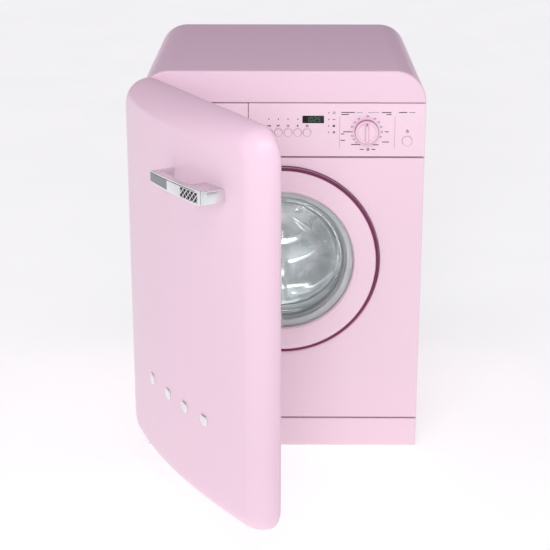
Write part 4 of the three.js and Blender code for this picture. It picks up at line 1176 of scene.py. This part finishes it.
def number(text, x, z, size):
    """A number printed on the fascia, as a thin solid."""
    curve = bpy.data.curves.new("number", "FONT")
    curve.body = text
    curve.size = size
    curve.extrude = 0.1
    curve.align_x = "CENTER"
    curve.align_y = "CENTER"
    obj = added("number", curve)
    bpy.context.view_layer.update()
    mesh = bpy.data.meshes.new_from_object(obj.evaluated_get(bpy.context.evaluated_depsgraph_get()))
    bpy.data.objects.remove(obj)
    mesh.transform(CABINET @ Matrix.Translation((x, -0.04, z)) @ Matrix.Rotation(math.pi / 2, 4, "X"))
    return added("number", mesh)


WORD_TALL = 1.8  # height of a plain bar that stands for a printed word
WORD_BARS = (  # middle and width of each, in four groups: the two headings, left, right and below the knob
    (136, 763.5, 28), (130, 759.2, 16), (216, 763.5, 20), (221, 759.2, 10), (250, 763.6, 17), (177, 755.6, 5),
    (134, 722.6, 15), (125.5, 718, 7), (126, 704.4, 9),
    (217, 722.6, 8), (215, 701, 14),
    (153, 695.5, 19), (194.5, 695, 12), (166, 685.2, 9), (190, 685.2, 8),
)
DIAL = ((138, "30"), (123, "30"), (108, "40"), (92, "40"), (72, "60"), (52, "60"), (32, "90"),
        (-32, "40"), (-52, "30"), (-72, "60"), (-92, "40"), (-112, "30"))  # degrees to the left of the top


def pictograms():
    """Small marks made of plain dashes, dots and hoops."""
    first, second, third, fourth, fifth = (middle_mm(node).x for node in BUTTON_NODES)
    row = ICON_ROW
    ink = [dash(first - 2.6, row, 1.1, 3.4), dash(first - 0.6, row, 1.1, 3.4), dot(first + 2.4, row, 1.9),
           dot(second - 1.8, row, 1.7), dash(second + 1.4, row, 3.4, 1.2), dash(second + 1.4, row + 2, 3.4, 0.8),
           hoop(third, row, 2.6), dash(third + 0.6, row, 1.6, 0.9), dash(third, row + 0.8, 0.8, 1.6),
           dash(fourth, row + 1.6, 3.6, 1.2), dash(fourth, row - 0.6, 2.4, 3), hoop(fifth, row, 2.6, 1.4)]
    x, (z1, z2, z3, z4) = SIDE_ICON_X, SIDE_LAMPS
    ink += [hoop(x, z1, 2.6, 0.9), dash(x, z2, 5.5, 1.4), dot(x, z3, 2.5), hoop(x, z4, 2.3, 1.5)]
    power = middle_mm("power_button").x
    ink += [hoop(power, KNOB.z, 3, 1.1), dash(power, KNOB.z + 2.2, 1.1, 3.4), hoop(178.6, 685, 2.9, 1.6)]
    return ink


def printing():
    """Lamps, plain pictograms and bars, the dial's scale and two dividing lines."""
    lamps = [lamp(middle_mm(node).x, LAMP_ROW) for node in BUTTON_NODES[:4]]
    lamps += [lamp(SIDE_LAMP_X, z) for z in SIDE_LAMPS]
    finish_piece(joined("status_lamps", lamps), "machine", LAMP)
    ink = pictograms() + [dash(x, z, wide, WORD_TALL) for x, z, wide in WORD_BARS]
    finish_piece(joined("panel_pictograms", ink), "machine", PRINT_INK)
    blue = []
    for degrees, text in DIAL:
        turn = math.radians(degrees)
        blue.append(number(text, KNOB.x - DIAL_ROW * math.sin(turn), KNOB.z + DIAL_ROW * math.cos(turn), 5.4))
    blue += [dash(160, 763.5, 13, 0.7), dash(189, 763.5, 22, 0.7), dash(269, 763.6, 13, 1.0)]
    finish_piece(joined("dial_scale", blue), "machine", BLUE_INK)
    lines = [dash(x, 721.5, 0.8, 69) for x in (119.3, 233.8)]
    finish_piece(joined("dividing_lines", lines), "machine", LINE_INK)


def drawer():
    """The drawer's front with a finger grip below, and its tray with three wells."""
    low, high = box_mm("drawer_front")
    front = block("drawer_front_moulding", (low.x, high.x), (0, 13.6), (low.z, high.z), 1.6, edges=lambda m: m.y < 1)
    boolean(front, [block("grip", (low.x + 22, high.x - 22), (4, 15), (low.z - 6, low.z + 12), 3)])
    finish_piece(front, "drawer", PINK_PLASTIC, ["drawer_front"])
    low, high = box_mm("drawer_tray")
    tray = block("drawer_tray_moulding", (low.x, high.x), (low.y, high.y), (low.z, high.z), 3, segments=3)
    middle, z = -128, (low.z + 3, high.z + 6)
    wells = [block("well", (low.x + 2, middle - 1), (low.y + 3, high.y - 2), z, 4),
             block("well", (middle + 1, high.x - 2), (low.y + 3, 156), z, 4),
             block("well", (middle + 1, high.x - 2), (158, high.y - 2), z, 4)]
    boolean(tray, wells)
    finish_piece(tray, "drawer", WHITE_PLASTIC, ["drawer_tray"])


def carried_over_nodes():
    """Every node that still shows takes its slot's material and soft shading."""
    looks = {
        "enamel": ENAMEL, "panel_paint": PANEL_PAINT, "pink_plastic": PINK_PLASTIC, "burgundy_trim": BURGUNDY,
        "chrome": CHROME, "stainless_steel": STEEL, "galvanised_steel": ZINC, "glass": GLASS, "display": DISPLAY,
        "grey_rubber": GREY_RUBBER, "black_rubber": BLACK_RUBBER, "grey_polymer": GREY_POLYMER,
        "white_plastic": WHITE_PLASTIC, "dark_plastic": DARK_PLASTIC_AND_SHADE, "concrete": CONCRETE, "motor_metal": CAST,
    }
    slots = {part["node"]: part["material_slot"] for part in frame["record"]["subparts"]}
    for name, node in frame["nodes"].items():
        look = looks[slots[name]]
        node.data.materials.clear()
        node.data.materials.append(look)
        for polygon in node.data.polygons:
            polygon.material_index = 0
            polygon.use_smooth = True
        node.data.set_sharp_from_angle(angle=math.radians(30))


# ---- camera, light and floor ----
def look_at(obj, target):
    obj.rotation_euler = (Vector(target) - obj.location).to_track_quat("-Z", "Y").to_euler()


def camera():
    data = bpy.data.cameras.new("camera")
    data.sensor_width = 36
    data.lens = LENS
    data.clip_end = 50
    obj = added("camera", data)
    obj.location = CABINET @ Vector(EYE)
    look_at(obj, CABINET @ Vector(AIM))
    bpy.context.scene.camera = obj


def area_light(name, place, target, size, power):
    data = bpy.data.lights.new(name, "AREA")
    data.shape = "RECTANGLE"
    data.size, data.size_y = size
    data.energy = power
    obj = added(name, data)
    obj.location = place
    look_at(obj, target)


def soft_sun(name, toward, strength, spread_degrees):
    """Even light over object and floor from one direction. It doesn't show in reflections."""
    data = bpy.data.lights.new(name, "SUN")
    data.energy = strength
    data.color = (0.84, 0.98, 0.9)
    data.angle = math.radians(spread_degrees)
    obj = added(name, data)
    obj.rotation_euler = Vector(toward).to_track_quat("Z", "Y").to_euler()
    obj.visible_glossy = False


def studio():
    """A wide pale floor, a world that is white for the camera and pinkish as light, and the lamps."""
    mesh = bpy.data.meshes.new("floor")
    corners = [(-1, -1), (1, -1), (1, 1), (-1, 1)]
    mesh.from_pydata([(FLOOR_REACH * x, FLOOR_REACH * y, 0) for x, y in corners], [], [(0, 1, 2, 3)])
    floor = added("floor", mesh)
    look = Look("studio_floor")
    look.color(look.ramp(look.noise(2, 3), srgb("f2f2f2"), srgb("f8f8f8")))
    look.roughness(look.ramp(look.noise(5, 3), 0.7, 0.85))
    look.set(emission_color=(0.92, 1, 0.94, 1), emission_strength=0.47)
    mesh.materials.append(look.material)

    world = bpy.data.worlds.new("studio")
    world.use_nodes = True
    nodes, links = world.node_tree.nodes, world.node_tree.links
    sky = nodes["Background"]
    ray = nodes.new("ShaderNodeLightPath")
    strength = nodes.new("ShaderNodeMapRange")
    links.new(ray.outputs["Is Camera Ray"], strength.inputs["Value"])
    strength.inputs["To Min"].default_value = AMBIENT
    links.new(strength.outputs["Result"], sky.inputs["Strength"])
    tint = colour_mix(nodes, links, ray.outputs["Is Camera Ray"])
    tint.inputs[MIX_A].default_value = (0.97, 0.82, 0.97, 1)
    tint.inputs[MIX_B].default_value = (0.88, 0.88, 0.9, 1)
    links.new(tint.outputs[MIX_RESULT], sky.inputs["Color"])
    bpy.context.scene.world = world
    soft_sun("front_sun", (-0.1, -1, 0.24), 0.8, 22)
    soft_sun("left_sun", (-1, -0.35, 0.25), 0.39, 30)
    area_light("front_softbox", (0.9, -4.4, 1.3), (0, 0, 0.45), (2.2, 2.0), 5)
    area_light("top_softbox", (0.1, -1.0, 1.5), (0, -0.25, 0.85), (0.9, 0.4), 4)
    area_light("window", (-0.9, -2.6, 2.1), (0, 0, 0.5), (0.5, 0.5), 4)
    in_drum = [CABINET @ Vector(place) for place in ((0, 190, AXIS + 150), (0, 400, AXIS - 60))]
    area_light("drum", *in_drum, (0.16, 0.08), 0.7)
    bpy.context.scene.view_settings.view_transform = "Standard"


carried_over_nodes()
cabinet_wrap()
front_panel()
plinth()
control_fascia()
back_panel()
feet()
outer_door_skin()
outer_door_liner()
outer_door_seal()
handle()
marks()
outer_hinges()
porthole()
gasket()
drum()
knob()
for index, node_name in enumerate(BUTTON_NODES):
    push_button(node_name, f"button_{index + 1}")
push_button("power_button", "power")
display()
printing()
drawer()
camera()
studio()
